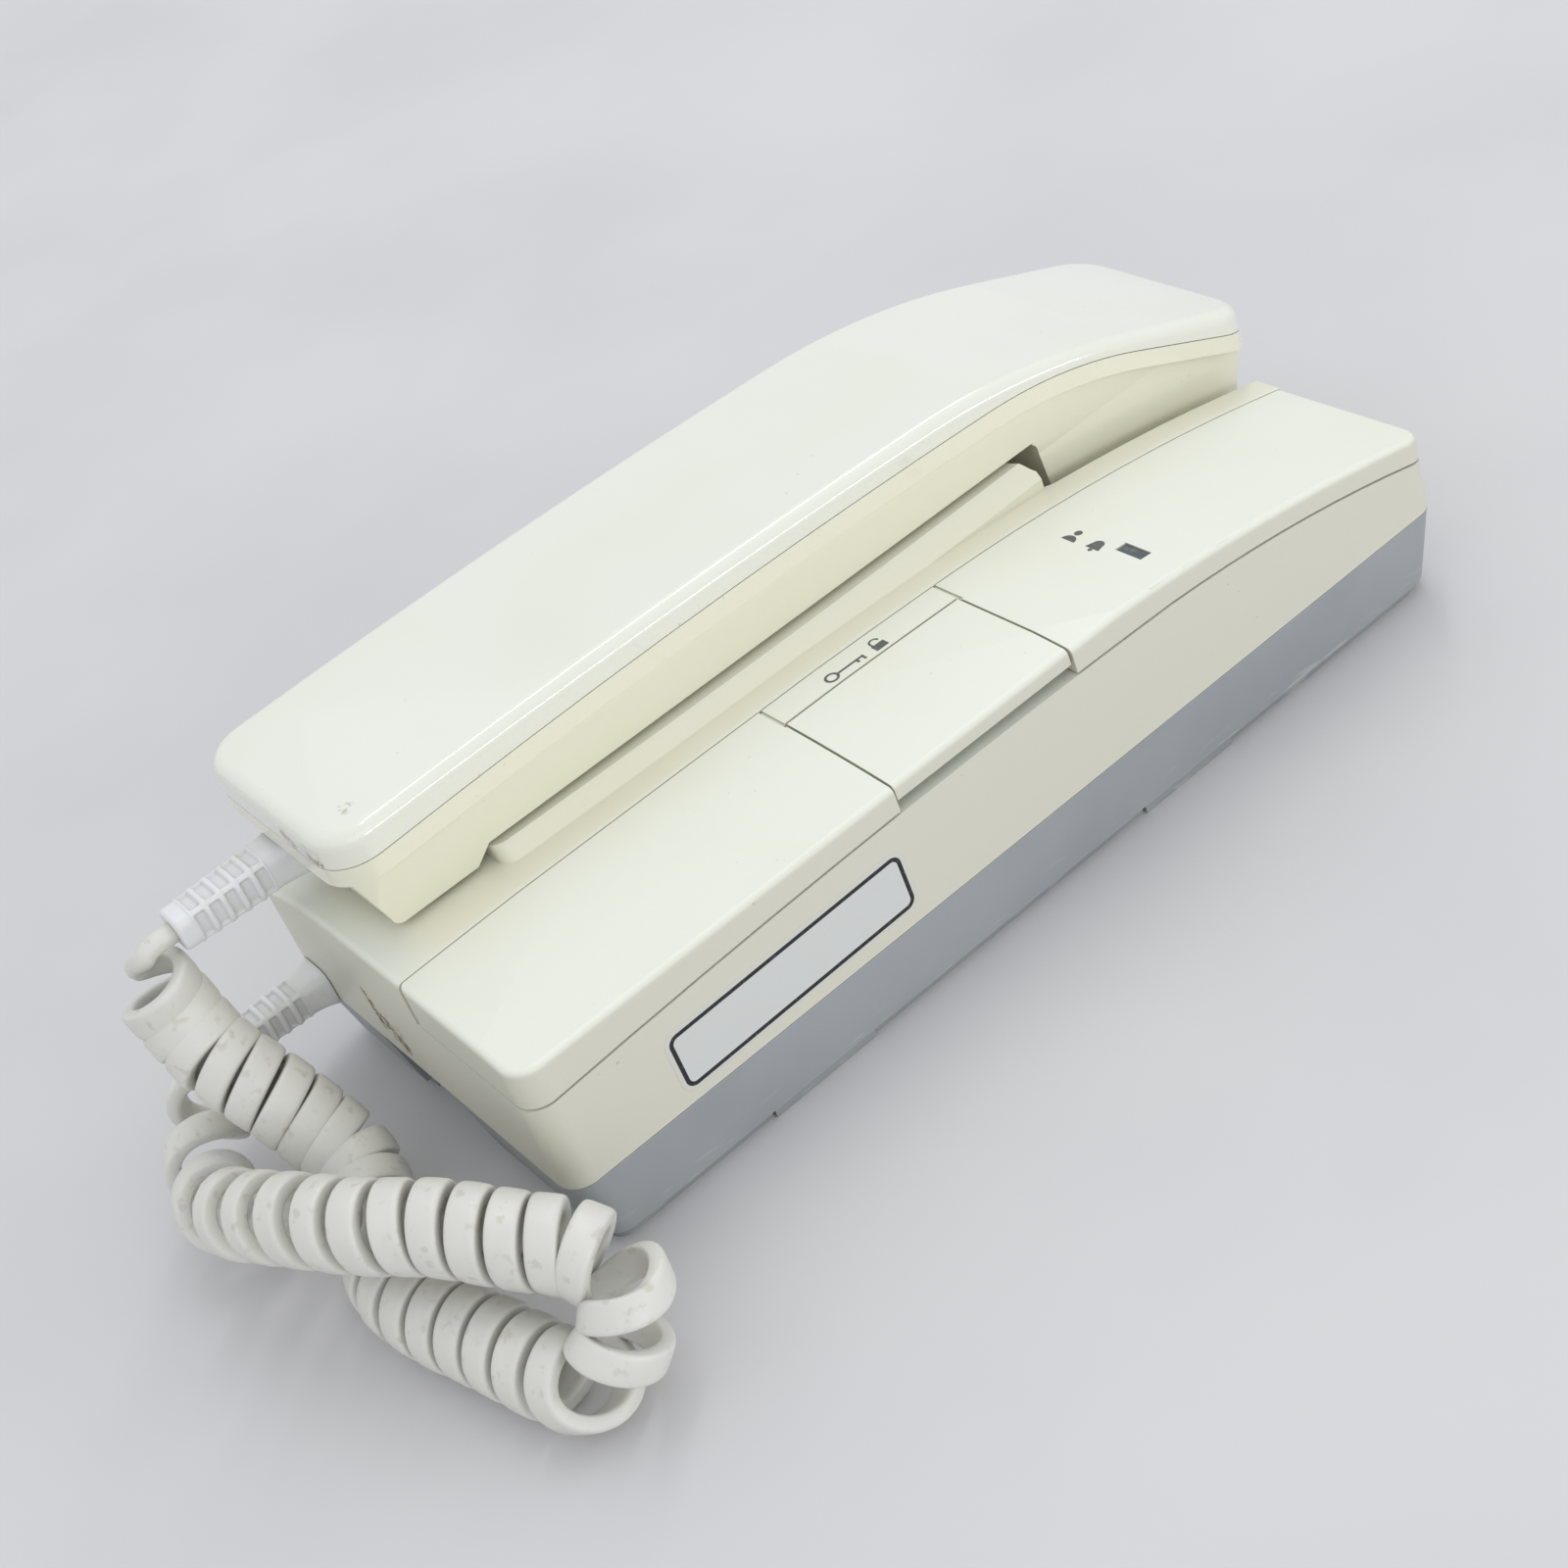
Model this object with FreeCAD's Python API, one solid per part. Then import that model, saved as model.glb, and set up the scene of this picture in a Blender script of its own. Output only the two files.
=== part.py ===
import FreeCAD, Part
import math
import os
from FreeCAD import Vector

# Intercom indoor station: a handset that lies in the left half of a wall station,
# with a hinged release key and a call lamp in the cover on the right.
# Units are millimetres. X runs from the handset side to the cover side, Y from the cord end
# to the head end, Z out of the wall. The wall plane is Z = 0, the middle of the body is X = Y = 0.

os.makedirs("parts", exist_ok=True)

# Body
STATION_WIDTH = 96.0
STATION_LENGTH = 215.0
CORNER_RADIUS = 5.0
SPLIT_Z = 18.0            # where the grey rear case meets the ivory front case
WALL = 2.2                # moulded wall of both cases
REAR_TAPER = 1.7          # how far the rear case's sides draw in towards the wall
END_TAPER = 3.0           # the same at its foot and head ends
REAR_BACK_Z = 2.6         # back face of the rear case
RIM_SIDE_IN = 3.3         # the rim on the wall, in from the body's sides
RIM_FOOT_IN = 4.5         # in from the cord end
RIM_HEAD_IN = 6.5         # in from the head end
RIM_WALL = 1.8
TAB_PROUD = 0.7           # two tabs on each side of the rim
TAB_FROM_FOOT = ((39.6, 63.0), (131.9, 154.8))
TAB_NOTCH = 0.4
OUTLET_X = (-17.3, 8.7)   # recess for a surface cable in the foot wall
OUTLET_DEPTH = 7.0
OUTLET_WALL = 1.8
JOIN_GAP = 0.15           # shadow line between the two cases
EASE = 1.3                # rounded outer edges of the front case, the cover and the key
PAST = 1.0                # the side and end views run this far past the body, so no face lies on another

# Side view of the body: height of the top surface and of the ledge under the cover
CROWN_FROM_FOOT = 62.5    # along Y, from the cord end
BEND_FROM_HEAD = 87.5     # along Y, from the head end
FALL_FROM_HEAD = 42.5
TOP_FOOT_Z = 46.4
TOP_CROWN_Z = 47.4
TOP_BEND_Z = 46.2
TOP_FALL_Z = 42.0
TOP_HEAD_Z = 33.4
LEDGE_BEND_FROM_HEAD = 67.5
LEDGE_FALL_FROM_HEAD = 32.5
LEDGE_FOOT_Z = 37.0
LEDGE_CROWN_Z = 39.9
LEDGE_BEND_Z = 39.5
LEDGE_FALL_Z = 35.5
LEDGE_HEAD_Z = 27.9

# End view of the body: the top slopes down to the left, under the handset
SHOULDER_LEFT_Z = 38.6
SHOULDER_MID_IN = 15.0    # in from the left side
SHOULDER_MID_Z = 43.6
SHOULDER_TOP_IN = 33.0
SHOULDER_TOP_Z = 46.3
CROWN_X = 14.0
CROWN_Z = 47.1
CROWN_RIGHT_Z = 45.6

# Cover
SEAM_FROM_HANDSET = 8.5   # left edge of the cover, from the handset's right side
SEAM_GAP = 0.3
COVER_WALL = 2.0
COVER_GAP = 0.5           # groove between cover and ledge
COVER_CORNER = 1.4
POST_RADIUS = 2.5
SEAT_CLEARANCE = 0.25
TONGUE_HEIGHT = 2.6
TONGUE_WALL = 1.2

# Release key
KEY_STRIP_SHARE = 0.2053  # share of the cover's width that lies left of the key
KEY_LOW_Y = -25.5
KEY_LENGTH = 41.5
KEY_GAP = 0.5
KEY_SIDE_IN = 0.5         # the key's free edge lies this far inside the body's side
KEY_UNDER_Z = 42.6
KEY_PLATE = 2.2
KEY_SKIRT = 1.6
KEY_AXIS_IN = 4.2         # hinge axis, from the key's left edge
KEY_AXIS_Z = 42.4
KEY_PIN_RADIUS = 1.0
PIN_CLEARANCE = 0.08
LUG_RADIUS = 1.9
LUG_WIDTH = 3.0
BEARING_RADIUS = 1.65
BEARING_WIDTH = 3.0
KEY_TRAVEL_DEG = 4.0
STRIP_GROOVE = 0.7
STRIP_GROOVE_DEPTH = 0.45

# Call lamp window
LAMP_FROM_SIDE = 12.4
LAMP_Y = 43.9
WINDOW_LENGTH = 6.4
WINDOW_WIDTH = 2.5
WINDOW_FLANGE = 1.0
WINDOW_BACK = 1.2
LAMP_RADIUS = 1.5
LAMP_FLANGE_RADIUS = 1.9

# Cradle
RIDGE_FROM_SIDE = 12.0    # left side of the ridge, from the body's side
RIDGE_PAST_LOW = 1.9      # its right side stands this far past the handset's, at the low end
RIDGE_PAST_MID = 2.9
RIDGE_PAST_HIGH = 2.0
RIDGE_CORNER = 3.0
RIDGE_Z = 50.2
RIDGE_SIDE_SLOPE = 2.2    # how far the top of the ridge's right side leans in
RIDGE_EDGE = 0.8          # bevel between its top and sides
POCKET_PAST_HANDSET = 2.0
POCKET_BEFORE_EAR = 7.9
POCKET_FLOOR_Z = 27.0
POCKET_CORNER = 6.7
SLOT_WIDTH = 1.6
SLOT_LENGTH = 22.0
SLOT_PITCH = 4.0
SLOT_COUNT = 7
MOUTH_REST_X = (-20.0, -6.0)
MOUTH_REST_FROM_FOOT = (12.5, 22.5)

# Handset
HANDSET_OVER_SIDE = 1.0   # it stands this far past the body's left side
HANDSET_WIDTH = 51.0
HANDSET_FROM_FOOT = 2.0   # its foot end, in from the body's
HANDSET_OVER_HEAD = 5.2   # its head end, past the body's
HANDSET_CORNER = 9.0
PART_FOOT_Z = 64.0        # parting line in the side view: foot, start of the bend, end of the bend
PART_START_SLOPE = 0.058
PART_BEND_FROM_HEAD = 67.7
PART_BEND_Z = 64.6
PART_LINE_Z = 66.2        # its highest point
BEND_END_FROM_HEAD = 30.7
PART_END_Z = 55.8
BACK_FOOT_Z = 70.6        # the same for the back
BACK_START_SLOPE = 0.034
BACK_BEND_FROM_HEAD = 82.7
BACK_BEND_Z = 70.0
BACK_END_Z = 59.3
BACK_EDGE_RADIUS = 2.8
SHELL_WALL = 2.0
SHELL_GAP = 0.2
GRIP_Z = 51.4
MOUTH_Z = 48.0
MOUTH_FROM_FOOT = 25.0
EAR_Z = 27.4
EAR_FACE_FROM_HEAD = 57.2
EAR_CORNER = 4.0
EAR_END_IN = 6.4          # lower head end of the ear piece, in from the head
RIM_DEPTH = 4.0
GRIP_TAPER = 2.6
EAR_TAPER = 0.8           # further draw of the ear piece's right side
EAR_LEFT_IN = 4.0         # left side of the ear piece, in from the handset's, to clear the well

# Inside the body
BOARD_Z = 28.4
BOARD_THICKNESS = 1.6
BOARD_FROM_SIDE = 4.4
BOARD_FROM_POCKET = 3.2
BOARD_Y = (-40.0, 60.0)
BOARD_BOSS_IN_LEFT = 4.2
BOARD_BOSS_IN_RIGHT = 4.0
BOARD_BOSS_IN_END = 5.0
BOSS_RADIUS = 3.0
SMALL_SCREW_RADIUS = 1.25
SMALL_HEAD_RADIUS = 2.4
SMALL_HEAD_HEIGHT = 1.6
CASE_SCREW_RADIUS = 1.5
CASE_HEAD_RADIUS = 2.9
CASE_HEAD_HEIGHT = 2.0
CASE_SCREW_LENGTH = 14.0
SCREW_CLEARANCE = 0.06
CASE_BOSS_RADIUS = 4.2
CASE_BOSS_IN_X = 9.5
CASE_BOSS_IN_FOOT = 9.0
CASE_BOSS_IN_HEAD = 10.0
WEB_Z = 10.0

# Wall bracket
BRACKET_SHEET = 1.2
BRACKET_WIDTH = 66.0
BRACKET_LENGTH = 150.0
BRACKET_CORNER = 4.0
BRACKET_MID_Y = 3.0
SCREW_PITCH = 83.5
SCREW_SLOT_RADIUS = 2.3
SCREW_SLOT_LENGTH = 9.0
WINDOW_X = (-14.0, 14.0)
WINDOW_Y = (-14.0, 14.0)
HOOK_X = 25.0
HOOK_Y = (-44.0, 56.0)
HOOK_WIDTH = 9.0
HOOK_REACH = 4.5
HOOK_SIDE_GAP = 0.5
HOOK_SLIDE = 6.0

# Parts on the board: (width, length, height), then places and details
UNDER_BOARD_IN = 4.8      # from the board's left edge to the relay and the socket
RELAY_SIZE = (15.0, 19.0, 15.0)
RELAY_Y = 22.0
RELAY_EDGE = 0.8
CHIP_SIZE = (6.4, 20.0, 3.2)
CHIP_IN = 9.8
CHIP_Y = -18.0
CHIP_NOTCH_RADIUS = 1.0
CHIP_NOTCH_DEPTH = 0.8
LEGS_A_SIDE = 8
LEG_START = 1.4
LEG_PITCH = 2.54
LEG_THICKNESS = 0.6
SOCKET_SIZE = (11.0, 6.0, 8.0)
SOCKET_Y = 8.0
SOCKET_WALL = 1.0
SOCKET_FLOOR = 1.5
SOCKET_PIN = 0.7
SOCKET_PINS = 4
SOCKET_PITCH = 2.3

# Cords
COIL_DIAMETER = 16.2
CORD_DIAMETER = 4.0
CURL_PITCHES = ((0, 5.8), (90, 6.0), (130, 7.2), (175, 6.4), (205, 7.0),
                (230, 11.0), (255, 14.5), (400, 15.0))
CURL_INNER_PITCH = 5.0    # least pitch on the inside of a bend
CURL_BEND = 6.0           # least bend of the cord's own line
CURL_RAMP = 16.0          # length over which the curls open at each end
WALK_STEP = 0.25
# Chosen by hand: down from the handset, along the table, round, back over itself, to the body.
CORD_ROUTE = (
    (-29.0, -128.0, 55.0), (-29.0, -131.0, 55.0), (-29.0, -136.0, 55.0), (-30.0, -138.0, 48.5),
    (-30.0, -134.0, 41.0), (-26.0, -134.5, 36.5), (-20.5, -134.0, 32.5), (-13.5, -130.5, 25.5),
    (-7.0, -127.5, 17.0), (0.5, -126.0, 11.0), (13.0, -131.0, 8.7), (26.5, -136.5, 8.7),
    (38.5, -135.5, 8.7), (53.0, -131.5, 8.7), (64.5, -129.0, 8.7), (73.5, -126.5, 8.7),
    (76.5, -119.0, 13.5), (73.0, -112.5, 21.0), (64.0, -114.5, 24.5), (56.5, -120.5, 26.3),
    (49.5, -125.0, 27.8), (42.5, -129.5, 28.6), (34.5, -136.0, 28.8), (20.5, -142.5, 26.8),
    (8.5, -146.0, 22.5), (-2.5, -148.5, 17.5), (-14.0, -149.0, 13.0), (-24.5, -145.5, 11.2),
    (-32.0, -141.5, 12.8), (-37.5, -138.5, 17.5), (-38.5, -133.8, 20.2), (-38.5, -130.5, 20.2),
    (-38.5, -127.25, 20.2),
)
ROUTE_FOOT_Y = -107.5     # where the body's cord end lay when the route was drawn
HANDSET_RELIEF_X = -29.0
HANDSET_RELIEF_Z = 55.0
HANDSET_RELIEF_FROM_FOOT = 6.0
HANDSET_RELIEF_LENGTH = 28.5
BODY_RELIEF_X = -38.5
BODY_RELIEF_Z = 20.2
BODY_RELIEF_LENGTH = 19.5
RELIEF_WIDTH = 9.0
RELIEF_FLARE = 3.0
HANDSET_NECK = 2.0
BODY_RELIEF_WIDTH = 8.0
BODY_RELIEF_FLARE = 1.8
BODY_NECK = 0.9           # neck inside the case's wall
NECK_RADIUS = 3.6
NECK_CLEARANCE = 0.2
FLANGE_RADIUS = 5.0
FLANGE_THICKNESS = 1.6

HALF_W = STATION_WIDTH / 2
HALF_L = STATION_LENGTH / 2
FAR = 400.0               # longer than anything, for cutting tools
KEY_HIGH_Y = KEY_LOW_Y + KEY_LENGTH
HANDSET_LEFT_X = -HALF_W - HANDSET_OVER_SIDE
HANDSET_RIGHT_X = HANDSET_LEFT_X + HANDSET_WIDTH
HANDSET_MID_X = HANDSET_LEFT_X + HANDSET_WIDTH / 2
HANDSET_FOOT_Y = HANDSET_FROM_FOOT - HALF_L
HANDSET_HEAD_Y = HALF_L + HANDSET_OVER_HEAD
MOUTH_END_Y = HANDSET_FOOT_Y + MOUTH_FROM_FOOT
EAR_FACE_Y = HANDSET_HEAD_Y - EAR_FACE_FROM_HEAD
POCKET_RIGHT_X = HANDSET_RIGHT_X + POCKET_PAST_HANDSET
POCKET_LOW_Y = EAR_FACE_Y - POCKET_BEFORE_EAR
RIDGE_LOW_Y = MOUTH_END_Y + 1.9
RIDGE_HIGH_Y = POCKET_LOW_Y + 3.2
SEAM_X = HANDSET_RIGHT_X + SEAM_FROM_HANDSET
KEY_LEFT_X = SEAM_X + KEY_STRIP_SHARE * (HALF_W - SEAM_X)
KEY_RIGHT_X = HALF_W - KEY_SIDE_IN
KEY_AXIS_X = KEY_LEFT_X + KEY_AXIS_IN
LAMP_X = HALF_W - LAMP_FROM_SIDE
BOARD_X = (POCKET_RIGHT_X + BOARD_FROM_POCKET, HALF_W - BOARD_FROM_SIDE)
HANDSET_RELIEF_AT = (HANDSET_RELIEF_X, HANDSET_FOOT_Y + HANDSET_RELIEF_FROM_FOOT, HANDSET_RELIEF_Z)
BOARD_TOP = BOARD_Z + BOARD_THICKNESS
REAR_FLOOR = REAR_BACK_Z + WALL
Y_AXIS = Vector(0, 1, 0)
Z_AXIS = Vector(0, 0, 1)

# Where the inner pieces stand
KEY_MID_Y = (KEY_LOW_Y + KEY_HIGH_Y) / 2
SWITCH_X = HALF_W - 10.0
SWITCH_SIZE = 8.0
SWITCH_TOP = BOARD_TOP + 4.0
SWITCH_PLUNGER_RADIUS = 1.7
ACTUATOR_RADIUS = 1.8
ACTUATOR_END_Z = SWITCH_TOP + 2.2
KEY_STROKE = (SWITCH_X - KEY_AXIS_X) * math.radians(KEY_TRAVEL_DEG)
SPRING_X = (KEY_AXIS_X + SWITCH_X) / 2 - 1.2
SPRING_SEAT_Z = 38.6
KEY_SPRING_RADIUS = 2.4
LAMP_BASE_Z = 35.5
TRANSFORMER_X = HALF_W - 21.0
TRANSFORMER_Y = 37.5 - HALF_L
CORE_WIDTH = 32.0
CORE_STACK = 15.0
CORE_HEIGHT = 27.0
CORE_LEG = 10.0
CORE_WINDOW = 5.5
CORE_Z = REAR_FLOOR + 2.0
TERMINAL_X = -9.0
TERMINAL_Y = 24.0
TERMINAL_PITCH = 6.6
TERMINAL_COUNT = 6
TERMINAL_TOP = REAR_FLOOR + 12.0
SPEAKER_X = -19.5
SPEAKER_Y = -30.0
SPEAKER_RADIUS = 18.0
SPEAKER_SEAT_Z = 39.2
HOOK_PLUNGER_X = -22.0
HOOK_PLUNGER_Y = EAR_FACE_Y + 11.0
HOOK_BLOCK = 12.0
HOOK_STROKE = 3.0
PLUNGER_RADIUS = 3.2
PLUNGER_FLANGE = 4.3
PLUNGER_LOW_Z = POCKET_FLOOR_Z - WALL - HOOK_BLOCK + 4.6
FLANGE_STEP = 1.5
CASE_PILOT = 6.6
RECEIVER_X = HANDSET_MID_X
RECEIVER_Y = HANDSET_HEAD_Y - 26.7
RECEIVER_RADIUS = 14.0
GASKET = 1.0
MIC_X = HANDSET_MID_X + 11.5
MIC_Y = HANDSET_FOOT_Y + 15.9
MIC_RADIUS = 3.9
HANDSET_SCREW_PLACES = ((HANDSET_MID_X, -68.0), (HANDSET_MID_X, 34.0))
HANDSET_BOSS = 3.0
HANDSET_BOSS_TOP = 60.0
WEIGHT_Y = (-55.0, 20.0)
COVER_POSTS = (
    (SEAM_X + 6.5, 12.5 - HALF_L), (HALF_W - 8.0, 12.5 - HALF_L),
    (SEAM_X + 6.5, 57.5 - HALF_L), (HALF_W - 8.0, 62.5 - HALF_L),
    (SEAM_X + 6.5, 35.0),
    (SEAM_X + 6.5, HALF_L - 27.5), (HALF_W - 8.0, HALF_L - 27.5),
)
CAPACITORS = (
    (BOARD_X[1] - 8.1, 8.0, 4.0, 12.0),
    (BOARD_X[1] - 8.1, -4.0, 5.0, 16.0),
    (BOARD_X[0] + 8.8, -24.0, 5.0, 18.0),
)


def box(x, y, z):
    """A block from three (low, high) pairs."""
    return Part.makeBox(x[1] - x[0], y[1] - y[0], z[1] - z[0], Vector(x[0], y[0], z[0]))


def cylinder(at, radius, height, axis=Z_AXIS):
    return Part.makeCylinder(radius, height, Vector(*at), axis)


def ring(at, outer, inner, height, axis=Z_AXIS):
    return cylinder(at, outer, height, axis).cut(cylinder(at, inner, height, axis))


def joined(shapes):
    first, rest = shapes[0], shapes[1:]
    return first.multiFuse(rest).removeSplitter() if rest else first


def path_wire(path, place):
    """A closed wire of lines and three-point arcs. A step is (end,) or (middle, end)."""
    edges = []
    here = path[0]
    for step in path[1:]:
        end = step[-1]
        if math.dist(here, end) < 1e-6:
            continue
        if len(step) == 1:
            edges.append(Part.makeLine(place(here), place(end)))
        else:
            edges.append(Part.Arc(place(here), place(step[0]), place(end)).toShape())
        here = end
    if math.dist(here, path[0]) > 1e-6:
        edges.append(Part.makeLine(place(here), place(path[0])))
    return Part.Wire(edges)


def side_solid(path, x):
    """A side view, given in (Y, Z), carried from x[0] to x[1]."""
    wire = path_wire(path, lambda p: Vector(x[0], p[0], p[1]))
    return Part.Face(wire).extrude(Vector(x[1] - x[0], 0, 0))


def end_solid(path, y):
    """An end view, given in (X, Z), carried from y[0] to y[1]."""
    wire = path_wire(path, lambda p: Vector(p[0], y[0], p[1]))
    return Part.Face(wire).extrude(Vector(0, y[1] - y[0], 0))


def plan_wire(x, y, radius, z):
    """A rounded rectangle at height z."""
    a = radius * (1 - math.sqrt(0.5))
    path = [
        (x[0] + radius, y[0]), ((x[1] - radius, y[0]),),
        ((x[1] - a, y[0] + a), (x[1], y[0] + radius)), ((x[1], y[1] - radius),),
        ((x[1] - a, y[1] - a), (x[1] - radius, y[1])), ((x[0] + radius, y[1]),),
        ((x[0] + a, y[1] - a), (x[0], y[1] - radius)), ((x[0], y[0] + radius),),
        ((x[0] + a, y[0] + a), (x[0] + radius, y[0])),
    ]
    return path_wire(path, lambda p: Vector(p[0], p[1], z))


def plan_solid(x, y, radius, z):
    return Part.Face(plan_wire(x, y, radius, z[0])).extrude(Vector(0, 0, z[1] - z[0]))


def tapered(low, high):
    """A loft between two rounded rectangles, each (x, y, radius, z)."""
    return Part.makeLoft([plan_wire(*low), plan_wire(*high)], True, True)


def body_plan(inset, z):
    radius = max(CORNER_RADIUS - inset, 0.8)
    return plan_solid((inset - HALF_W, HALF_W - inset), (inset - HALF_L, HALF_L - inset), radius, z)


def top_path(drop, floor):
    """Side view under the top surface, lowered by drop."""
    end = HALF_L + PAST
    return [
        (-end, TOP_FOOT_Z - drop),
        ((CROWN_FROM_FOOT - HALF_L, TOP_CROWN_Z - drop), (HALF_L - BEND_FROM_HEAD, TOP_BEND_Z - drop)),
        ((HALF_L - FALL_FROM_HEAD, TOP_FALL_Z - drop), (end, TOP_HEAD_Z - drop)),
        ((end, floor),), ((-end, floor),),
    ]


def ledge_path(drop, floor):
    """Side view under the ledge that the cover stands on, lowered by drop."""
    end = HALF_L + PAST
    return [
        (-end, LEDGE_FOOT_Z - drop),
        ((CROWN_FROM_FOOT - HALF_L, LEDGE_CROWN_Z - drop),
         (HALF_L - LEDGE_BEND_FROM_HEAD, LEDGE_BEND_Z - drop)),
        ((HALF_L - LEDGE_FALL_FROM_HEAD, LEDGE_FALL_Z - drop), (end, LEDGE_HEAD_Z - drop)),
        ((end, floor),), ((-end, floor),),
    ]


def end_path(drop, floor):
    """End view under the top surface, lowered by drop."""
    end = HALF_W + PAST
    return [
        (-end, SHOULDER_LEFT_Z - drop),
        ((SHOULDER_MID_IN - HALF_W, SHOULDER_MID_Z - drop),
         (SHOULDER_TOP_IN - HALF_W, SHOULDER_TOP_Z - drop)),
        ((CROWN_X, CROWN_Z - drop), (end, CROWN_RIGHT_Z - drop)),
        ((end, floor),), ((-end, floor),),
    ]


def under_top(drop, inset, floor):
    """Everything of the body under its top surface, drawn in by inset and down by drop."""
    side = side_solid(top_path(drop, floor), (-HALF_W - PAST, HALF_W + PAST))
    end = end_solid(end_path(drop, floor), (-HALF_L - PAST, HALF_L + PAST))
    return side.common(end).common(body_plan(inset, (floor, FAR / 4)))


def under_ledge(drop, x, floor=0.0):
    return side_solid(ledge_path(drop, floor), x)


def over_ledge(rise, x):
    """Everything above the ledge raised by rise, between two X planes."""
    return box(x, (-HALF_L - PAST, HALF_L + PAST), (0, FAR / 4)).cut(under_ledge(-rise, x, -1.0))


def eased(solid, side):
    """Rounds the top edge on one side of the body, and what runs on from it round the corners."""
    rim = []
    for edge in solid.Edges:
        middle = edge.CenterOfMass
        on_side = abs(middle.x - side * HALF_W) < 0.02 and edge.BoundBox.YLength > 4 * CORNER_RADIUS
        if on_side and middle.z > LEDGE_BEND_Z - 1.5 and middle.z > solid.BoundBox.ZMin + 12.0:
            rim.append(edge)
    return solid.makeFillet(EASE, rim)


def case_screw_places():
    """Foot and head, left and right."""
    for y in (CASE_BOSS_IN_FOOT - HALF_L, HALF_L - CASE_BOSS_IN_HEAD):
        for x in (CASE_BOSS_IN_X - HALF_W, HALF_W - CASE_BOSS_IN_X):
            yield x, y


def wall_bracket():
    """Steel plate on the wall box: two slots, a cable window and four hooks."""
    low_y = BRACKET_MID_Y - BRACKET_LENGTH / 2
    plate = plan_solid((-BRACKET_WIDTH / 2, BRACKET_WIDTH / 2), (low_y, low_y + BRACKET_LENGTH),
                       BRACKET_CORNER, (0, BRACKET_SHEET))
    plate = plate.cut(plan_solid(WINDOW_X, WINDOW_Y, BRACKET_CORNER, (-1, BRACKET_SHEET + 1)))
    for side in (-1, 1):
        mid = side * SCREW_PITCH / 2
        slot = plan_solid((-SCREW_SLOT_RADIUS, SCREW_SLOT_RADIUS),
                          (mid - SCREW_SLOT_LENGTH / 2, mid + SCREW_SLOT_LENGTH / 2),
                          SCREW_SLOT_RADIUS, (-1, BRACKET_SHEET + 1))
        plate = plate.cut(slot)
    finger_z = REAR_FLOOR + SEAT_CLEARANCE
    pieces = [plate]
    for x in (-HOOK_X, HOOK_X):
        for y in HOOK_Y:
            sides = (x - HOOK_WIDTH / 2, x + HOOK_WIDTH / 2)
            pieces.append(box(sides, (y, y + BRACKET_SHEET), (0, finger_z + BRACKET_SHEET)))
            pieces.append(box(sides, (y, y + HOOK_REACH), (finger_z, finger_z + BRACKET_SHEET)))
    return joined(pieces)


def relief_notch(y_low, y_high):
    """Round hole for the neck of the body's strain relief, across the split of the cases."""
    return cylinder((BODY_RELIEF_X, y_low, BODY_RELIEF_Z), NECK_RADIUS + NECK_CLEARANCE,
                    y_high - y_low, Y_AXIS)


def board_bosses():
    """Places of the four bosses that carry the board."""
    for y in (BOARD_Y[0] + BOARD_BOSS_IN_END, BOARD_Y[1] - BOARD_BOSS_IN_END):
        for x in (BOARD_X[0] + BOARD_BOSS_IN_LEFT, BOARD_X[1] - BOARD_BOSS_IN_RIGHT):
            yield x, y


def foot_rim():
    """The rim that bears on the wall, with two clip tabs on each side and a notch beside each tab."""
    x = (RIM_SIDE_IN - HALF_W, HALF_W - RIM_SIDE_IN)
    y = (RIM_FOOT_IN - HALF_L, HALF_L - RIM_HEAD_IN)
    z = (0, REAR_BACK_Z + WALL / 2)
    corner = CORNER_RADIUS - RIM_WALL
    inner_x = (x[0] + RIM_WALL, x[1] - RIM_WALL)
    inner_y = (y[0] + RIM_WALL, y[1] - RIM_WALL)
    inner = plan_solid(inner_x, inner_y, corner - RIM_WALL, z)
    rim = plan_solid(x, y, corner, z).cut(inner)
    for low, high in TAB_FROM_FOOT:
        tab = box((x[0] - TAB_PROUD, x[1] + TAB_PROUD), (low - HALF_L, high - HALF_L), (0, REAR_BACK_Z))
        rim = rim.fuse(tab.cut(box(inner_x, (-HALF_L, HALF_L), (-1, FAR))))
        notch = box((x[0] - 1, x[1] + 1), (low - HALF_L - TAB_NOTCH, low - HALF_L), (-1, REAR_BACK_Z))
        rim = rim.cut(notch)
    return rim


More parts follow.
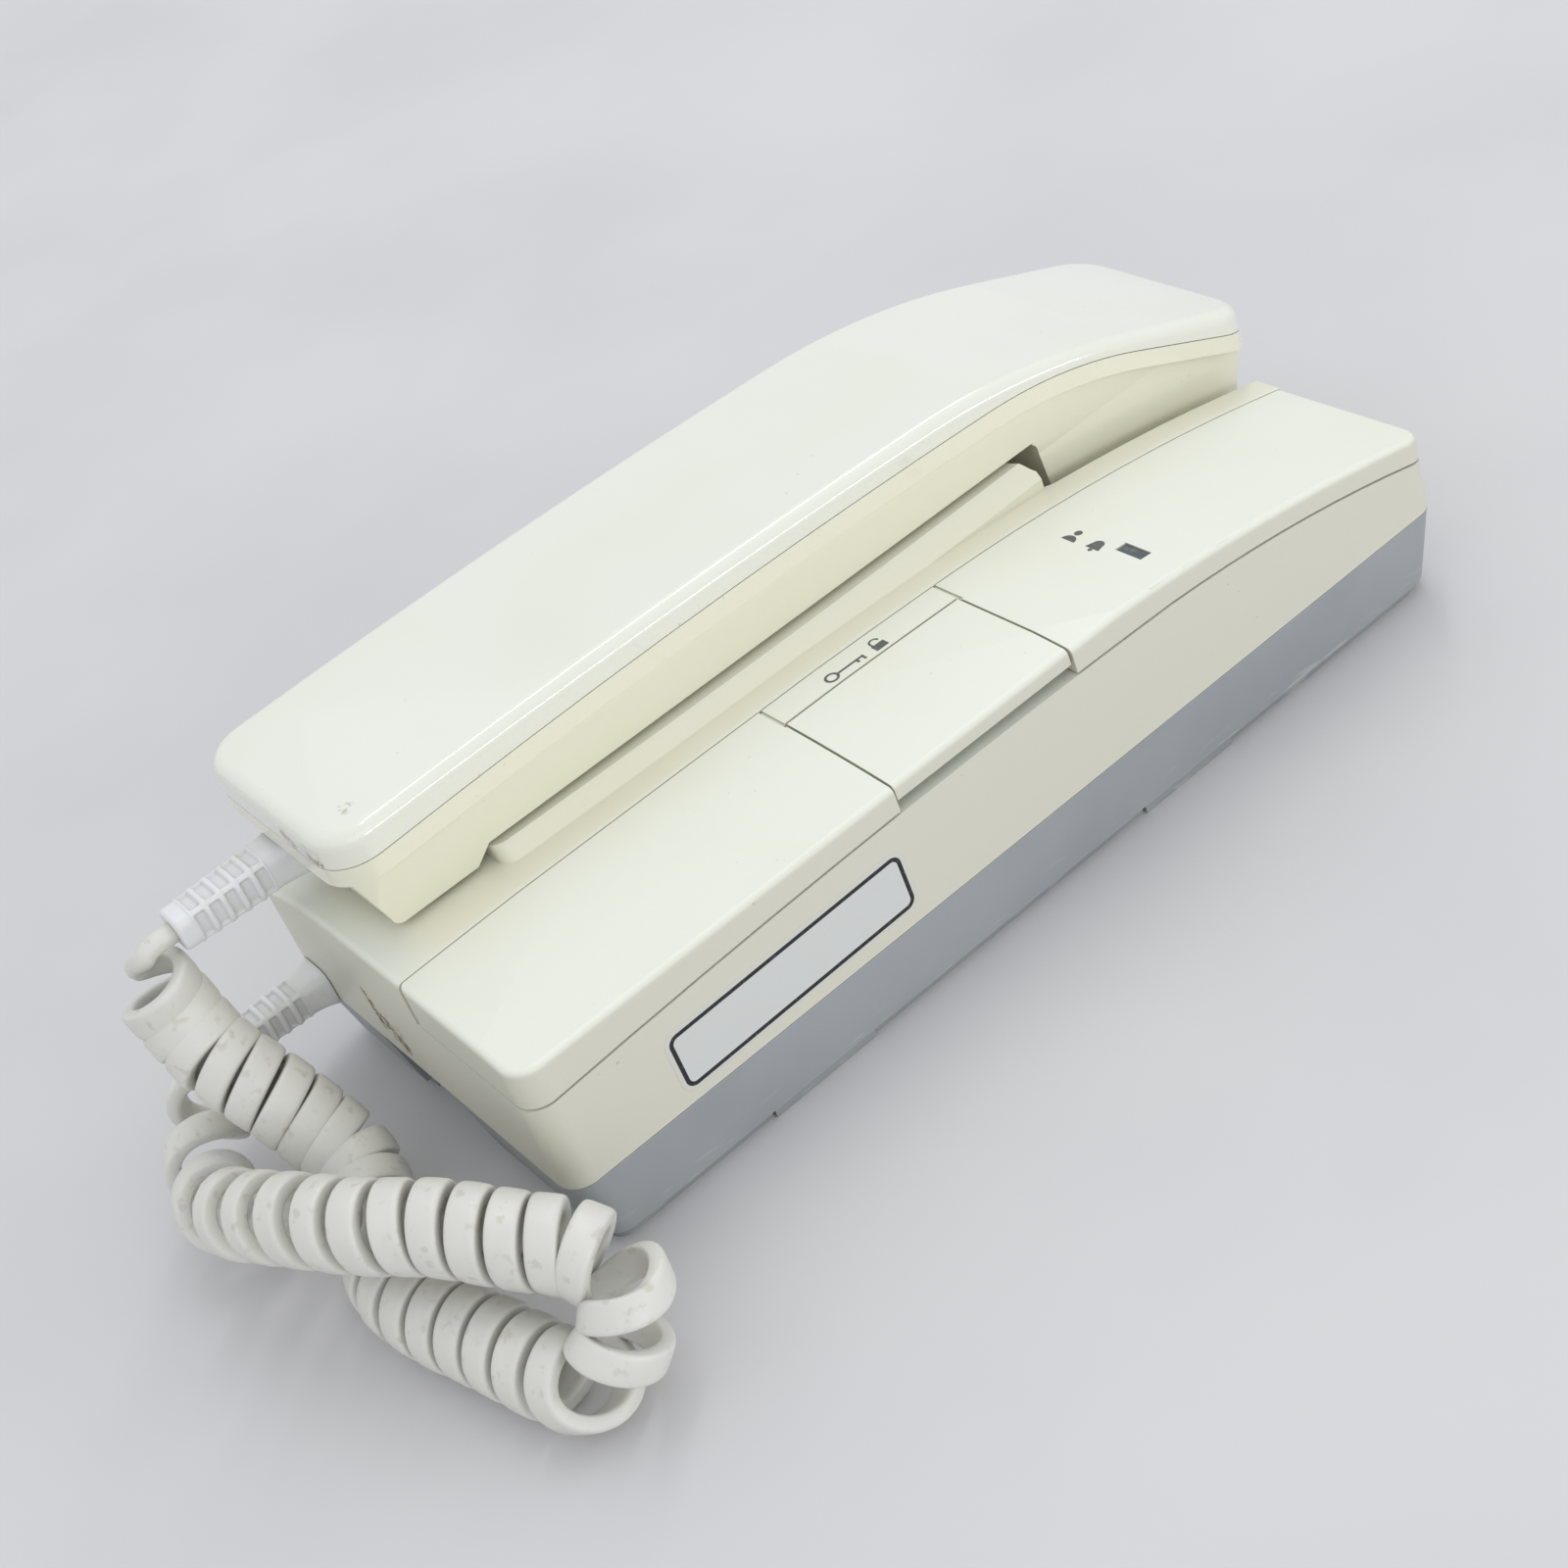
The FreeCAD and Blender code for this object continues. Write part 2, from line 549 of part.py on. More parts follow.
def rear_case():
    """Grey tray: tapered walls, rim, cable outlet, screw posts, transformer rails and terminal seat."""
    side, end = REAR_TAPER, END_TAPER
    outer_x, outer_y = (side - HALF_W, HALF_W - side), (end - HALF_L, HALF_L - end)
    outer = tapered((outer_x, outer_y, CORNER_RADIUS, REAR_BACK_Z),
                    ((-HALF_W, HALF_W), (-HALF_L, HALF_L), CORNER_RADIUS, SPLIT_Z))
    side += WALL
    end += WALL
    corner = CORNER_RADIUS - WALL
    inner = tapered(((side - HALF_W, HALF_W - side), (end - HALF_L, HALF_L - end), corner, REAR_FLOOR),
                    ((WALL - HALF_W, HALF_W - WALL), (WALL - HALF_L, HALF_L - WALL), corner, SPLIT_Z))
    rim = foot_rim()
    shell = outer.cut(inner)
    posts = []
    for x, y in case_screw_places():
        posts.append(cylinder((x, y, REAR_BACK_Z), CASE_BOSS_RADIUS, SPLIT_Z - JOIN_GAP - REAR_BACK_Z))
    rail_x = (TRANSFORMER_X - CORE_WIDTH / 2 - 1.5, TRANSFORMER_X + CORE_WIDTH / 2 + 1.5)
    for y in (TRANSFORMER_Y - 5.0, TRANSFORMER_Y + 5.0):
        posts.append(box(rail_x, (y - 1.5, y + 1.5), (REAR_BACK_Z, CORE_Z)))
    outlet_end = OUTLET_DEPTH - HALF_L
    posts.append(box((OUTLET_X[0] - OUTLET_WALL, OUTLET_X[1] + OUTLET_WALL),
                     (END_TAPER + WALL / 2 - HALF_L, outlet_end + OUTLET_WALL),
                     (REAR_BACK_Z, SPLIT_Z - JOIN_GAP)))
    shell = joined([shell, rim] + posts)
    shell = shell.cut(box(OUTLET_X, (-HALF_L - 1, outlet_end), (-1, SPLIT_Z - OUTLET_WALL)))
    shell = shell.cut(box(OUTLET_X, (-HALF_L - 1, WALL - HALF_L), (-1, SPLIT_Z + 1)))
    for x, y in case_screw_places():
        shell = shell.cut(cylinder((x, y, 0), CASE_HEAD_RADIUS + 0.4, WEB_Z))
        shell = shell.cut(cylinder((x, y, 0), CASE_SCREW_RADIUS + SCREW_CLEARANCE, SPLIT_Z + 1))
    shell = shell.cut(plan_solid((WINDOW_X[0] + 1, WINDOW_X[1] - 1), (WINDOW_Y[0] + 1, WINDOW_Y[1] - 1),
                                 BRACKET_CORNER, (0, REAR_FLOOR + 1)))
    for x in (-HOOK_X, HOOK_X):
        for y in HOOK_Y:
            half = HOOK_WIDTH / 2 + HOOK_SIDE_GAP
            high = y + BRACKET_SHEET + SEAT_CLEARANCE
            shell = shell.cut(box((x - half, x + half), (high - HOOK_SLIDE, high), (0, REAR_FLOOR + 1)))
    for mid in (-SCREW_PITCH / 2, SCREW_PITCH / 2):
        shell = shell.cut(cylinder((0, mid, 0), 6.0, REAR_FLOOR + 1))
    shell = shell.cut(relief_notch(-HALF_L - 1, WALL - HALF_L + 2))
    return shell.cut(box((-HALF_W, HALF_W), (-HALF_L, HALF_L), (SPLIT_Z - JOIN_GAP, SPLIT_Z + 1)))


def ridge(inset, drop):
    """Raised block under the grip. Its right side bows out, leans in and has a bevelled top edge."""
    low_y, high_y = RIDGE_LOW_Y + inset, RIDGE_HIGH_Y
    mid_y = (low_y + high_y) / 2
    corner = RIDGE_CORNER
    ease = corner * (1 - math.sqrt(0.5))

    def plan(z, lean):
        left = RIDGE_FROM_SIDE - HALF_W + inset + lean * 0.3
        right = HANDSET_RIGHT_X - inset - lean
        low_x, mid_x, high_x = right + RIDGE_PAST_LOW, right + RIDGE_PAST_MID, right + RIDGE_PAST_HIGH
        path = [
            (left, low_y), ((low_x - corner, low_y),),
            ((low_x - ease, low_y + ease), (low_x, low_y + corner)),
            ((mid_x, mid_y), (high_x, high_y)), ((left, high_y),),
        ]
        return path_wire(path, lambda p: Vector(p[0], p[1], z))
    low_z = SPLIT_Z + 12.0
    base_z = TOP_BEND_Z
    high_z = RIDGE_Z - drop
    foot = Part.Face(plan(low_z, 0.0)).extrude(Vector(0, 0, base_z - low_z))
    side = Part.makeLoft([plan(base_z, 0.0), plan(high_z - RIDGE_EDGE, RIDGE_SIDE_SLOPE)], True, True)
    edge = Part.makeLoft([plan(high_z - RIDGE_EDGE, RIDGE_SIDE_SLOPE),
                          plan(high_z, RIDGE_SIDE_SLOPE + RIDGE_EDGE)], True, True)
    return foot.fuse(side).fuse(edge).removeSplitter()


def pocket(grow, floor_z):
    """The well that takes the handset's ear piece, open at the head end."""
    x = (WALL - HALF_W - grow, POCKET_RIGHT_X + grow)
    y = (POCKET_LOW_Y - grow, HALF_L + 2 * POCKET_CORNER)
    return plan_solid(x, y, POCKET_CORNER, (floor_z, FAR / 4))


def speaker_ring():
    return ring((SPEAKER_X, SPEAKER_Y, SPEAKER_SEAT_Z), SPEAKER_RADIUS, SPEAKER_RADIUS - 1.6,
                RIDGE_Z - WALL - SPEAKER_SEAT_Z)


def front_case():
    """Ivory shell: cradle, ear pocket, ledge and shelf under the cover, bosses and bearings."""
    cover_x = (SEAM_X, HALF_W)
    tongue_in = COVER_WALL + SEAM_GAP
    outer = under_top(0.0, 0.0, SPLIT_Z)
    solid = eased(outer.cut(over_ledge(0.0, (SEAM_X, HALF_W + 1))), -1)
    solid = solid.fuse(ridge(0.0, 0.0))
    hollow = under_top(WALL, WALL, SPLIT_Z - 1)
    hollow = hollow.cut(over_ledge(-WALL, (SEAM_X - WALL, HALF_W + 1)))
    hollow = hollow.fuse(ridge(WALL, WALL))
    hollow = hollow.cut(pocket(WALL, POCKET_FLOOR_Z - WALL))
    bosses = []
    for x, y in case_screw_places():
        bosses.append(cylinder((x, y, SPLIT_Z), CASE_BOSS_RADIUS, FAR / 4))
    for x, y in board_bosses():
        bosses.append(cylinder((x, y, BOARD_TOP), BOSS_RADIUS, FAR / 4))
    shell = solid.cut(hollow).cut(pocket(0.0, POCKET_FLOOR_Z))
    half = WALL / 2
    skin = under_top(half, half, SPLIT_Z).cut(over_ledge(-half, (SEAM_X - half, HALF_W + 1)))
    skin = skin.cut(pocket(half, POCKET_FLOOR_Z - half))
    supports = [boss.common(skin) for boss in bosses]
    supports.append(speaker_ring())
    shell = shell.multiFuse(supports)

    # The tongue locates the cover from inside and is open along the finger slot.
    tongue = over_ledge(-0.5, cover_x).cut(over_ledge(TONGUE_HEIGHT, cover_x))
    deep_in = tongue_in + TONGUE_WALL
    high = (0, FAR / 4)
    plan_in = body_plan(tongue_in, high).common(box((SEAM_X + tongue_in, HALF_W), (-HALF_L, HALF_L), high))
    plan_deep = body_plan(deep_in, high).common(box((SEAM_X + deep_in, HALF_W), (-HALF_L, HALF_L), high))
    tongue = tongue.common(plan_in).cut(plan_deep)
    tongue = tongue.cut(box((KEY_LEFT_X - 3, HALF_W), (KEY_LOW_Y - 4, KEY_HIGH_Y + 4), (0, FAR / 4)))
    bearings = []
    for y in key_bearing_ys():
        arm = cylinder((KEY_AXIS_X, y, KEY_AXIS_Z), BEARING_RADIUS, BEARING_WIDTH, Y_AXIS)
        leg = box((KEY_AXIS_X - BEARING_RADIUS, KEY_AXIS_X + BEARING_RADIUS), (y, y + BEARING_WIDTH),
                  (LEDGE_BEND_Z - 1.0, KEY_AXIS_Z))
        bearings += [arm, leg]
    shell = shell.multiFuse([tongue] + bearings)
    pin_hole = cylinder((KEY_AXIS_X, KEY_LOW_Y - 2, KEY_AXIS_Z), KEY_PIN_RADIUS + 0.02,
                        KEY_LENGTH + 4, Y_AXIS)
    shell = shell.cut(pin_hole)

    # Openings: key plunger, lamp, spring well, speaker slots, hook plunger, screw pilots, cord neck.
    shell = shell.cut(cylinder((SWITCH_X, KEY_MID_Y, BOARD_TOP), ACTUATOR_RADIUS + 1.1, 12.0))
    shell = shell.cut(cylinder((LAMP_X, LAMP_Y, BOARD_TOP), LAMP_FLANGE_RADIUS + 0.6, 12.0))
    shell = shell.cut(cylinder((SPRING_X, KEY_MID_Y, SPRING_SEAT_Z), KEY_SPRING_RADIUS + 0.7, 6.0))
    for place in range(SLOT_COUNT):
        y = SPEAKER_Y + (place - (SLOT_COUNT - 1) / 2) * SLOT_PITCH
        slot = plan_solid((SPEAKER_X - SLOT_LENGTH / 2, SPEAKER_X + SLOT_LENGTH / 2),
                          (y - SLOT_WIDTH / 2, y + SLOT_WIDTH / 2), SLOT_WIDTH / 2,
                          (RIDGE_Z - WALL - 1, RIDGE_Z + 1))
        shell = shell.cut(slot)
    below_floor = (HOOK_PLUNGER_X, HOOK_PLUNGER_Y, POCKET_FLOOR_Z - WALL - 1)
    shell = shell.cut(cylinder(below_floor, PLUNGER_RADIUS + 0.3, WALL + 2))
    for x, y in case_screw_places():
        shell = shell.cut(cylinder((x, y, SPLIT_Z - 1), CASE_SCREW_RADIUS + SCREW_CLEARANCE, CASE_PILOT + 1))
    for x, y in board_bosses():
        shell = shell.cut(cylinder((x, y, BOARD_TOP - 1), SMALL_SCREW_RADIUS + SCREW_CLEARANCE, 6.0))
    shell = shell.cut(relief_notch(-HALF_L - 1, WALL - HALF_L + 2))
    rest_y = (MOUTH_REST_FROM_FOOT[0] - HALF_L, MOUTH_REST_FROM_FOOT[1] - HALF_L)
    rest = box(MOUTH_REST_X, rest_y, (SHOULDER_MID_Z, MOUTH_Z - SEAT_CLEARANCE))
    return shell.fuse(rest).removeSplitter()


def key_bearing_ys():
    """Low faces of the two bearings, just inside the key's lugs."""
    low = KEY_LOW_Y + KEY_SKIRT + LUG_WIDTH + 0.4
    high = KEY_HIGH_Y - KEY_SKIRT - LUG_WIDTH - 0.4 - BEARING_WIDTH
    return low, high


def front_cover():
    """Right-hand cover: one moulding with the key's cut-out, lamp window and skirt."""
    x = (SEAM_X + SEAM_GAP, HALF_W + 10)
    y = (-HALF_L, HALF_L)
    over = over_ledge(COVER_GAP, (SEAM_X, HALF_W + 1))
    outer = eased(under_top(0.0, 0.0, SPLIT_Z).common(over), 1)
    outer = outer.common(plan_solid(x, y, COVER_CORNER, (0, FAR / 4)))
    inside = under_top(COVER_WALL, COVER_WALL, SPLIT_Z)
    inside = inside.common(box((x[0] + COVER_WALL, HALF_W), y, (0, FAR / 4)))
    rim = 1.6
    cut_x = (KEY_LEFT_X - KEY_GAP, HALF_W + 5)
    cut_y = (KEY_LOW_Y - KEY_GAP, KEY_HIGH_Y + KEY_GAP)
    inside = inside.cut(box((cut_x[0] - rim, cut_x[1]), (cut_y[0] - rim, cut_y[1] + rim), (0, FAR / 4)))
    cover = outer.cut(inside)
    cover = cover.cut(box(cut_x, cut_y, (0, FAR / 4)))
    for y_end in cut_y:
        groove_y = (y_end - STRIP_GROOVE / 2, y_end + STRIP_GROOVE / 2)
        groove = box((SEAM_X, cut_x[0] + 1), groove_y, (0, FAR / 4))
        cover = cover.cut(groove.cut(under_top(STRIP_GROOVE_DEPTH, 0.0, SPLIT_Z)))
    posts = []
    post_room = under_top(COVER_WALL / 2, 1.0, SPLIT_Z).common(over_ledge(SEAT_CLEARANCE, (SEAM_X, HALF_W)))
    for x_at, y_at in COVER_POSTS:
        posts.append(cylinder((x_at, y_at, SPLIT_Z), POST_RADIUS, 40.0).common(post_room))
    cover = cover.multiFuse(posts)
    cover = cover.cut(box(*window_span(SEAM_GAP / 2), (0, FAR / 4)))
    return cover.removeSplitter()


def window_span(grow):
    half_x, half_y = WINDOW_LENGTH / 2 + grow, WINDOW_WIDTH / 2 + grow
    return (LAMP_X - half_x, LAMP_X + half_x), (LAMP_Y - half_y, LAMP_Y + half_y)


def lamp_window():
    """Smoked lens: a plug in the cover's hole with a flange behind it."""
    plug = box(*window_span(0.0), (TOP_FALL_Z - 2, FAR / 4)).common(under_top(0.3, 0.0, SPLIT_Z))
    flange = box(*window_span(WINDOW_FLANGE), (SPLIT_Z, FAR / 4))
    behind = COVER_WALL + 0.05
    flange = flange.common(under_top(behind, 0.0, SPLIT_Z)).cut(under_top(behind + WINDOW_BACK, 0.0, SPLIT_Z))
    return joined([plug.cut(under_top(COVER_WALL + 0.5, 0.0, SPLIT_Z)), flange])


def release_key():
    """Large key: plate with skirts, two hinge lugs and the actuator that reaches the switch."""
    x = (KEY_LEFT_X, KEY_RIGHT_X)
    y = (KEY_LOW_Y, KEY_HIGH_Y)
    block = box(x, y, (KEY_UNDER_Z, FAR / 4)).common(under_top(0.0, 0.0, SPLIT_Z))
    edge_mid = (KEY_LOW_Y + KEY_HIGH_Y) / 2
    free_edge = [e for e in block.Edges
                 if abs(e.CenterOfMass.x - KEY_RIGHT_X) < 0.1 and abs(e.CenterOfMass.y - edge_mid) < 2
                 and e.CenterOfMass.z > KEY_UNDER_Z + 1]
    block = block.makeFillet(EASE, free_edge)
    hollow = box((x[0] + KEY_SKIRT, x[1] - KEY_SKIRT), (y[0] + KEY_SKIRT, y[1] - KEY_SKIRT), (0, FAR / 4))
    key = block.cut(hollow.common(under_top(KEY_PLATE, 0.0, SPLIT_Z)))
    lugs = []
    for low in (KEY_LOW_Y + KEY_SKIRT, KEY_HIGH_Y - KEY_SKIRT - LUG_WIDTH):
        lugs.append(cylinder((KEY_AXIS_X, low, KEY_AXIS_Z), LUG_RADIUS, LUG_WIDTH, Y_AXIS))
        lugs.append(box((KEY_AXIS_X - LUG_RADIUS, KEY_AXIS_X + LUG_RADIUS), (low, low + LUG_WIDTH),
                        (KEY_AXIS_Z, TOP_BEND_Z - KEY_PLATE / 2)))
    actuator_length = TOP_BEND_Z - KEY_PLATE / 2 - ACTUATOR_END_Z
    actuator = cylinder((SWITCH_X, KEY_MID_Y, ACTUATOR_END_Z), ACTUATOR_RADIUS, actuator_length)
    key = key.multiFuse(lugs + [actuator])
    bore = cylinder((KEY_AXIS_X, KEY_LOW_Y + KEY_SKIRT - 0.5, KEY_AXIS_Z), KEY_PIN_RADIUS + PIN_CLEARANCE,
                    KEY_LENGTH - 2 * KEY_SKIRT + 1.0, Y_AXIS)
    return key.cut(bore).removeSplitter()


def key_hinge_pin():
    length = KEY_LENGTH - 2 * KEY_SKIRT + 0.4
    return cylinder((KEY_AXIS_X, KEY_LOW_Y + KEY_SKIRT - 0.2, KEY_AXIS_Z), KEY_PIN_RADIUS, length, Y_AXIS)


def coil_spring(at, radius, wire, height, turns):
    """A compression spring that fills its height, as a tube on half-turn biarcs."""
    rise = (height - wire) / (2 * turns)
    slope = math.atan2(rise, math.pi * radius)
    nodes = []
    for place in range(2 * turns + 1):
        side = 1 if place % 2 == 0 else -1
        point = Vector(at[0] + side * radius, at[1], at[2] + wire / 2 + rise * place)
        nodes.append((point, Vector(0, side * math.cos(slope), math.sin(slope))))
    return wound_tube(nodes, wire)


def key_spring():
    height = TOP_BEND_Z - KEY_PLATE - SPRING_SEAT_Z
    return coil_spring((SPRING_X, KEY_MID_Y, SPRING_SEAT_Z), KEY_SPRING_RADIUS, 0.5, height, 4)


def key_switch():
    """Push switch on the board under the key, with a bore for its plunger."""
    half = SWITCH_SIZE / 2
    body = box((SWITCH_X - half, SWITCH_X + half), (KEY_MID_Y - half, KEY_MID_Y + half),
               (BOARD_TOP, SWITCH_TOP))
    body = body.makeChamfer(0.6, [e for e in body.Edges if abs(e.CenterOfMass.z - SWITCH_TOP) < 0.01])
    return body.cut(cylinder((SWITCH_X, KEY_MID_Y, BOARD_TOP + 0.8), SWITCH_PLUNGER_RADIUS + 0.15, FAR))


def switch_plunger():
    low = BOARD_TOP + 0.8 + KEY_STROKE + 0.3
    top = ACTUATOR_END_Z - SEAT_CLEARANCE
    return cylinder((SWITCH_X, KEY_MID_Y, low), SWITCH_PLUNGER_RADIUS, top - low)


def main_board():
    """Circuit board hung from the bosses of the front case."""
    board = plan_solid(BOARD_X, BOARD_Y, 1.5, (BOARD_Z, BOARD_TOP))
    for x, y in board_bosses():
        board = board.cut(cylinder((x, y, BOARD_Z - 1), SMALL_SCREW_RADIUS + 0.25, BOARD_THICKNESS + 2))
    return board


def board_screws():
    """Four pan-head screws from behind the board into the bosses."""
    screws = []
    for x, y in board_bosses():
        head = cylinder((x, y, BOARD_Z - SMALL_HEAD_HEIGHT), SMALL_HEAD_RADIUS, SMALL_HEAD_HEIGHT)
        shank = cylinder((x, y, BOARD_Z - 0.1), SMALL_SCREW_RADIUS, BOARD_THICKNESS + 4.5)
        low = BOARD_Z - SMALL_HEAD_HEIGHT
        slot = box((x - 3, x + 3), (y - 0.4, y + 0.4), (low - 1, low + 0.7))
        screws.append(head.fuse(shank).removeSplitter().cut(slot))
    return Part.makeCompound(screws)


def case_screws():
    """Four screws through the rear posts, which hold the two cases together."""
    screws = []
    for x, y in case_screw_places():
        head = cylinder((x, y, WEB_Z - CASE_HEAD_HEIGHT), CASE_HEAD_RADIUS, CASE_HEAD_HEIGHT)
        shank = cylinder((x, y, WEB_Z - 0.1), CASE_SCREW_RADIUS, CASE_SCREW_LENGTH)
        low = WEB_Z - CASE_HEAD_HEIGHT
        cross = box((x - 2, x + 2), (y - 0.5, y + 0.5), (low - 1, low + 1))
        cross = cross.fuse(box((x - 0.5, x + 0.5), (y - 2, y + 2), (low - 1, low + 1)))
        screws.append(head.fuse(shank).removeSplitter().cut(cross))
    return Part.makeCompound(screws)


def call_lamp():
    """Light-emitting diode on a spacer, under the window."""
    spacer = ring((LAMP_X, LAMP_Y, BOARD_TOP), LAMP_FLANGE_RADIUS, 1.0, LAMP_BASE_Z - BOARD_TOP)
    flange = cylinder((LAMP_X, LAMP_Y, LAMP_BASE_Z), LAMP_FLANGE_RADIUS, 1.0)
    body = cylinder((LAMP_X, LAMP_Y, LAMP_BASE_Z + 1.0), LAMP_RADIUS, 2.0)
    dome = Part.makeSphere(LAMP_RADIUS, Vector(LAMP_X, LAMP_Y, LAMP_BASE_Z + 3.0))
    return joined([spacer, flange, body, dome])


def capacitors():
    """Upright electrolytic capacitors under the board, each with its rolled bead."""
    cans = []
    for x, y, radius, length in CAPACITORS:
        can = cylinder((x, y, BOARD_Z - length), radius, length)
        bead = Part.makeTorus(radius + 0.35, 0.8, Vector(x, y, BOARD_Z - 2.0))
        rim = [e for e in can.Edges if abs(e.CenterOfMass.z - (BOARD_Z - length)) < 0.01]
        cans.append(can.makeFillet(0.8, rim).cut(bead))
    return Part.makeCompound(cans)


def line_relay():
    width, length, height = RELAY_SIZE
    left = BOARD_X[0] + UNDER_BOARD_IN
    relay = box((left, left + width), (RELAY_Y, RELAY_Y + length), (BOARD_Z - height, BOARD_Z))
    return relay.makeFillet(RELAY_EDGE, [e for e in relay.Edges if e.CenterOfMass.z < BOARD_Z - 0.5])


def audio_chip():
    """Dual in-line package on top of the board, legs included."""
    width, length, height = CHIP_SIZE
    left = BOARD_X[0] + CHIP_IN
    x, y = (left, left + width), (CHIP_Y, CHIP_Y + length)
    low = BOARD_TOP + LEG_THICKNESS
    body = box(x, y, (low, low + height))
    notch = cylinder((left + width / 2, CHIP_Y, low + height - CHIP_NOTCH_DEPTH), CHIP_NOTCH_RADIUS, height)
    legs = []
    for place in range(LEGS_A_SIDE):
        at = CHIP_Y + LEG_START + place * LEG_PITCH
        leg_y = (at - LEG_THICKNESS / 2, at + LEG_THICKNESS / 2)
        for span in ((left - LEG_THICKNESS, left), (left + width, left + width + LEG_THICKNESS)):
            legs.append(box(span, leg_y, (BOARD_TOP, low + height / 2)))
    return joined([body.cut(notch)] + legs)


def cord_socket():
    """Four-way header behind the board for the cord's inner leads."""
    width, length, height = SOCKET_SIZE
    left = BOARD_X[0] + UNDER_BOARD_IN
    wall = SOCKET_WALL
    low = BOARD_Z - height
    shroud = box((left, left + width), (SOCKET_Y, SOCKET_Y + length), (low, BOARD_Z))
    well = box((left + wall, left + width - wall), (SOCKET_Y + wall, SOCKET_Y + length - wall),
               (low - 1, BOARD_Z - SOCKET_FLOOR))
    half = SOCKET_PIN / 2
    mid_y = SOCKET_Y + length / 2
    pins = []
    for place in range(SOCKET_PINS):
        x = left + width / 2 + SOCKET_PITCH * (place - (SOCKET_PINS - 1) / 2)
        pins.append(box((x - half, x + half), (mid_y - half, mid_y + half), (low + 1.0, BOARD_Z - 1.0)))
    return joined([shroud.cut(well)] + pins)


def transformer_core():
    """Stack of plates with two windows, standing on the rear case's rails."""
    core = box((TRANSFORMER_X - CORE_WIDTH / 2, TRANSFORMER_X + CORE_WIDTH / 2),
               (TRANSFORMER_Y - CORE_STACK / 2, TRANSFORMER_Y + CORE_STACK / 2),
               (CORE_Z, CORE_Z + CORE_HEIGHT))
    for side in (-1, 1):
        mid = TRANSFORMER_X + side * (CORE_LEG / 2 + CORE_WINDOW / 2)
        core = core.cut(box((mid - CORE_WINDOW / 2, mid + CORE_WINDOW / 2), (-FAR, FAR),
                            (CORE_Z + CORE_LEG / 2, CORE_Z + CORE_HEIGHT - CORE_LEG / 2)))
    return core


def transformer_coil():
    """Wound bobbin round the middle leg: winding between two flanges."""
    low = CORE_Z + CORE_LEG / 2 + 0.2
    high = CORE_Z + CORE_HEIGHT - CORE_LEG / 2 - 0.2

    def block(half_x, half_y, radius, z):
        return plan_solid((TRANSFORMER_X - half_x, TRANSFORMER_X + half_x),
                          (TRANSFORMER_Y - half_y, TRANSFORMER_Y + half_y), radius, z)
    half_x = CORE_LEG / 2 + CORE_WINDOW - 0.3
    half_y = CORE_STACK / 2 + CORE_WINDOW - 0.3
    bobbin = [block(half_x, half_y, 1.0, (low, low + 1.0)), block(half_x, half_y, 1.0, (high - 1.0, high)),
              block(half_x - 0.8, half_y - 0.8, 3.0, (low, high))]
    leg_x, leg_y = CORE_LEG / 2 + 0.2, CORE_STACK / 2 + 0.2
    return joined(bobbin).cut(box((TRANSFORMER_X - leg_x, TRANSFORMER_X + leg_x),
                                  (TRANSFORMER_Y - leg_y, TRANSFORMER_Y + leg_y), (0, FAR)))


def terminal_block():
    """Six-way screw terminals beside the cable window."""
    x = (TERMINAL_X - TERMINAL_PITCH * TERMINAL_COUNT / 2, TERMINAL_X + TERMINAL_PITCH * TERMINAL_COUNT / 2)
    y = (TERMINAL_Y - 5.5, TERMINAL_Y + 5.5)
    block = box(x, y, (REAR_FLOOR, TERMINAL_TOP))
    block = block.cut(box(x, (y[0] - 1, y[0] + 2.5), (REAR_FLOOR + 7.5, TERMINAL_TOP + 1)))
    for place in range(TERMINAL_COUNT):
        mid = x[0] + TERMINAL_PITCH * (place + 0.5)
        block = block.cut(cylinder((mid, TERMINAL_Y + 1.0, REAR_FLOOR + 3.0), 2.2, FAR))
        block = block.cut(box((mid - 1.6, mid + 1.6), (y[0] - 1, TERMINAL_Y),
                              (REAR_FLOOR + 2.0, REAR_FLOOR + 5.6)))
    return block


def terminal_screws():
    screws = []
    for place in range(TERMINAL_COUNT):
        mid = TERMINAL_X + TERMINAL_PITCH * (place + 0.5 - TERMINAL_COUNT / 2)
        head = cylinder((mid, TERMINAL_Y + 1.0, TERMINAL_TOP - 4.0), 1.95, 2.2)
        shank = cylinder((mid, TERMINAL_Y + 1.0, REAR_FLOOR + 3.2), 1.2,
                         TERMINAL_TOP - 4.0 - REAR_FLOOR - 3.1)
        slot = box((mid - 3, mid + 3), (TERMINAL_Y + 0.7, TERMINAL_Y + 1.3),
                   (TERMINAL_TOP - 2.6, TERMINAL_TOP))
        screws.append(head.fuse(shank).removeSplitter().cut(slot))
    return Part.makeCompound(screws)


def speaker_frame():
    """Pressed basket of the call speaker: flange and a stepped cone."""
    top = SPEAKER_SEAT_Z
    outline = [(0, top - 10.0), (SPEAKER_RADIUS * 0.5, top - 10.0), (SPEAKER_RADIUS - 2.5, top - 1.2),
               (SPEAKER_RADIUS, top - 1.2), (SPEAKER_RADIUS, top), (SPEAKER_RADIUS - 2.3, top),
               (SPEAKER_RADIUS - 3.2, top - 0.8), (SPEAKER_RADIUS * 0.5 - 0.8, top - 9.2), (0, top - 9.2)]
    return spun(outline, SPEAKER_X, SPEAKER_Y)


def spun(outline, x, y):
    """A solid of revolution about the Z axis through (x, y), from (radius, height) pairs."""
    points = [Vector(x + r, y, z) for r, z in outline]
    face = Part.Face(Part.makePolygon(points + points[:1]))
    return face.revolve(Vector(x, y, 0), Z_AXIS, 360)


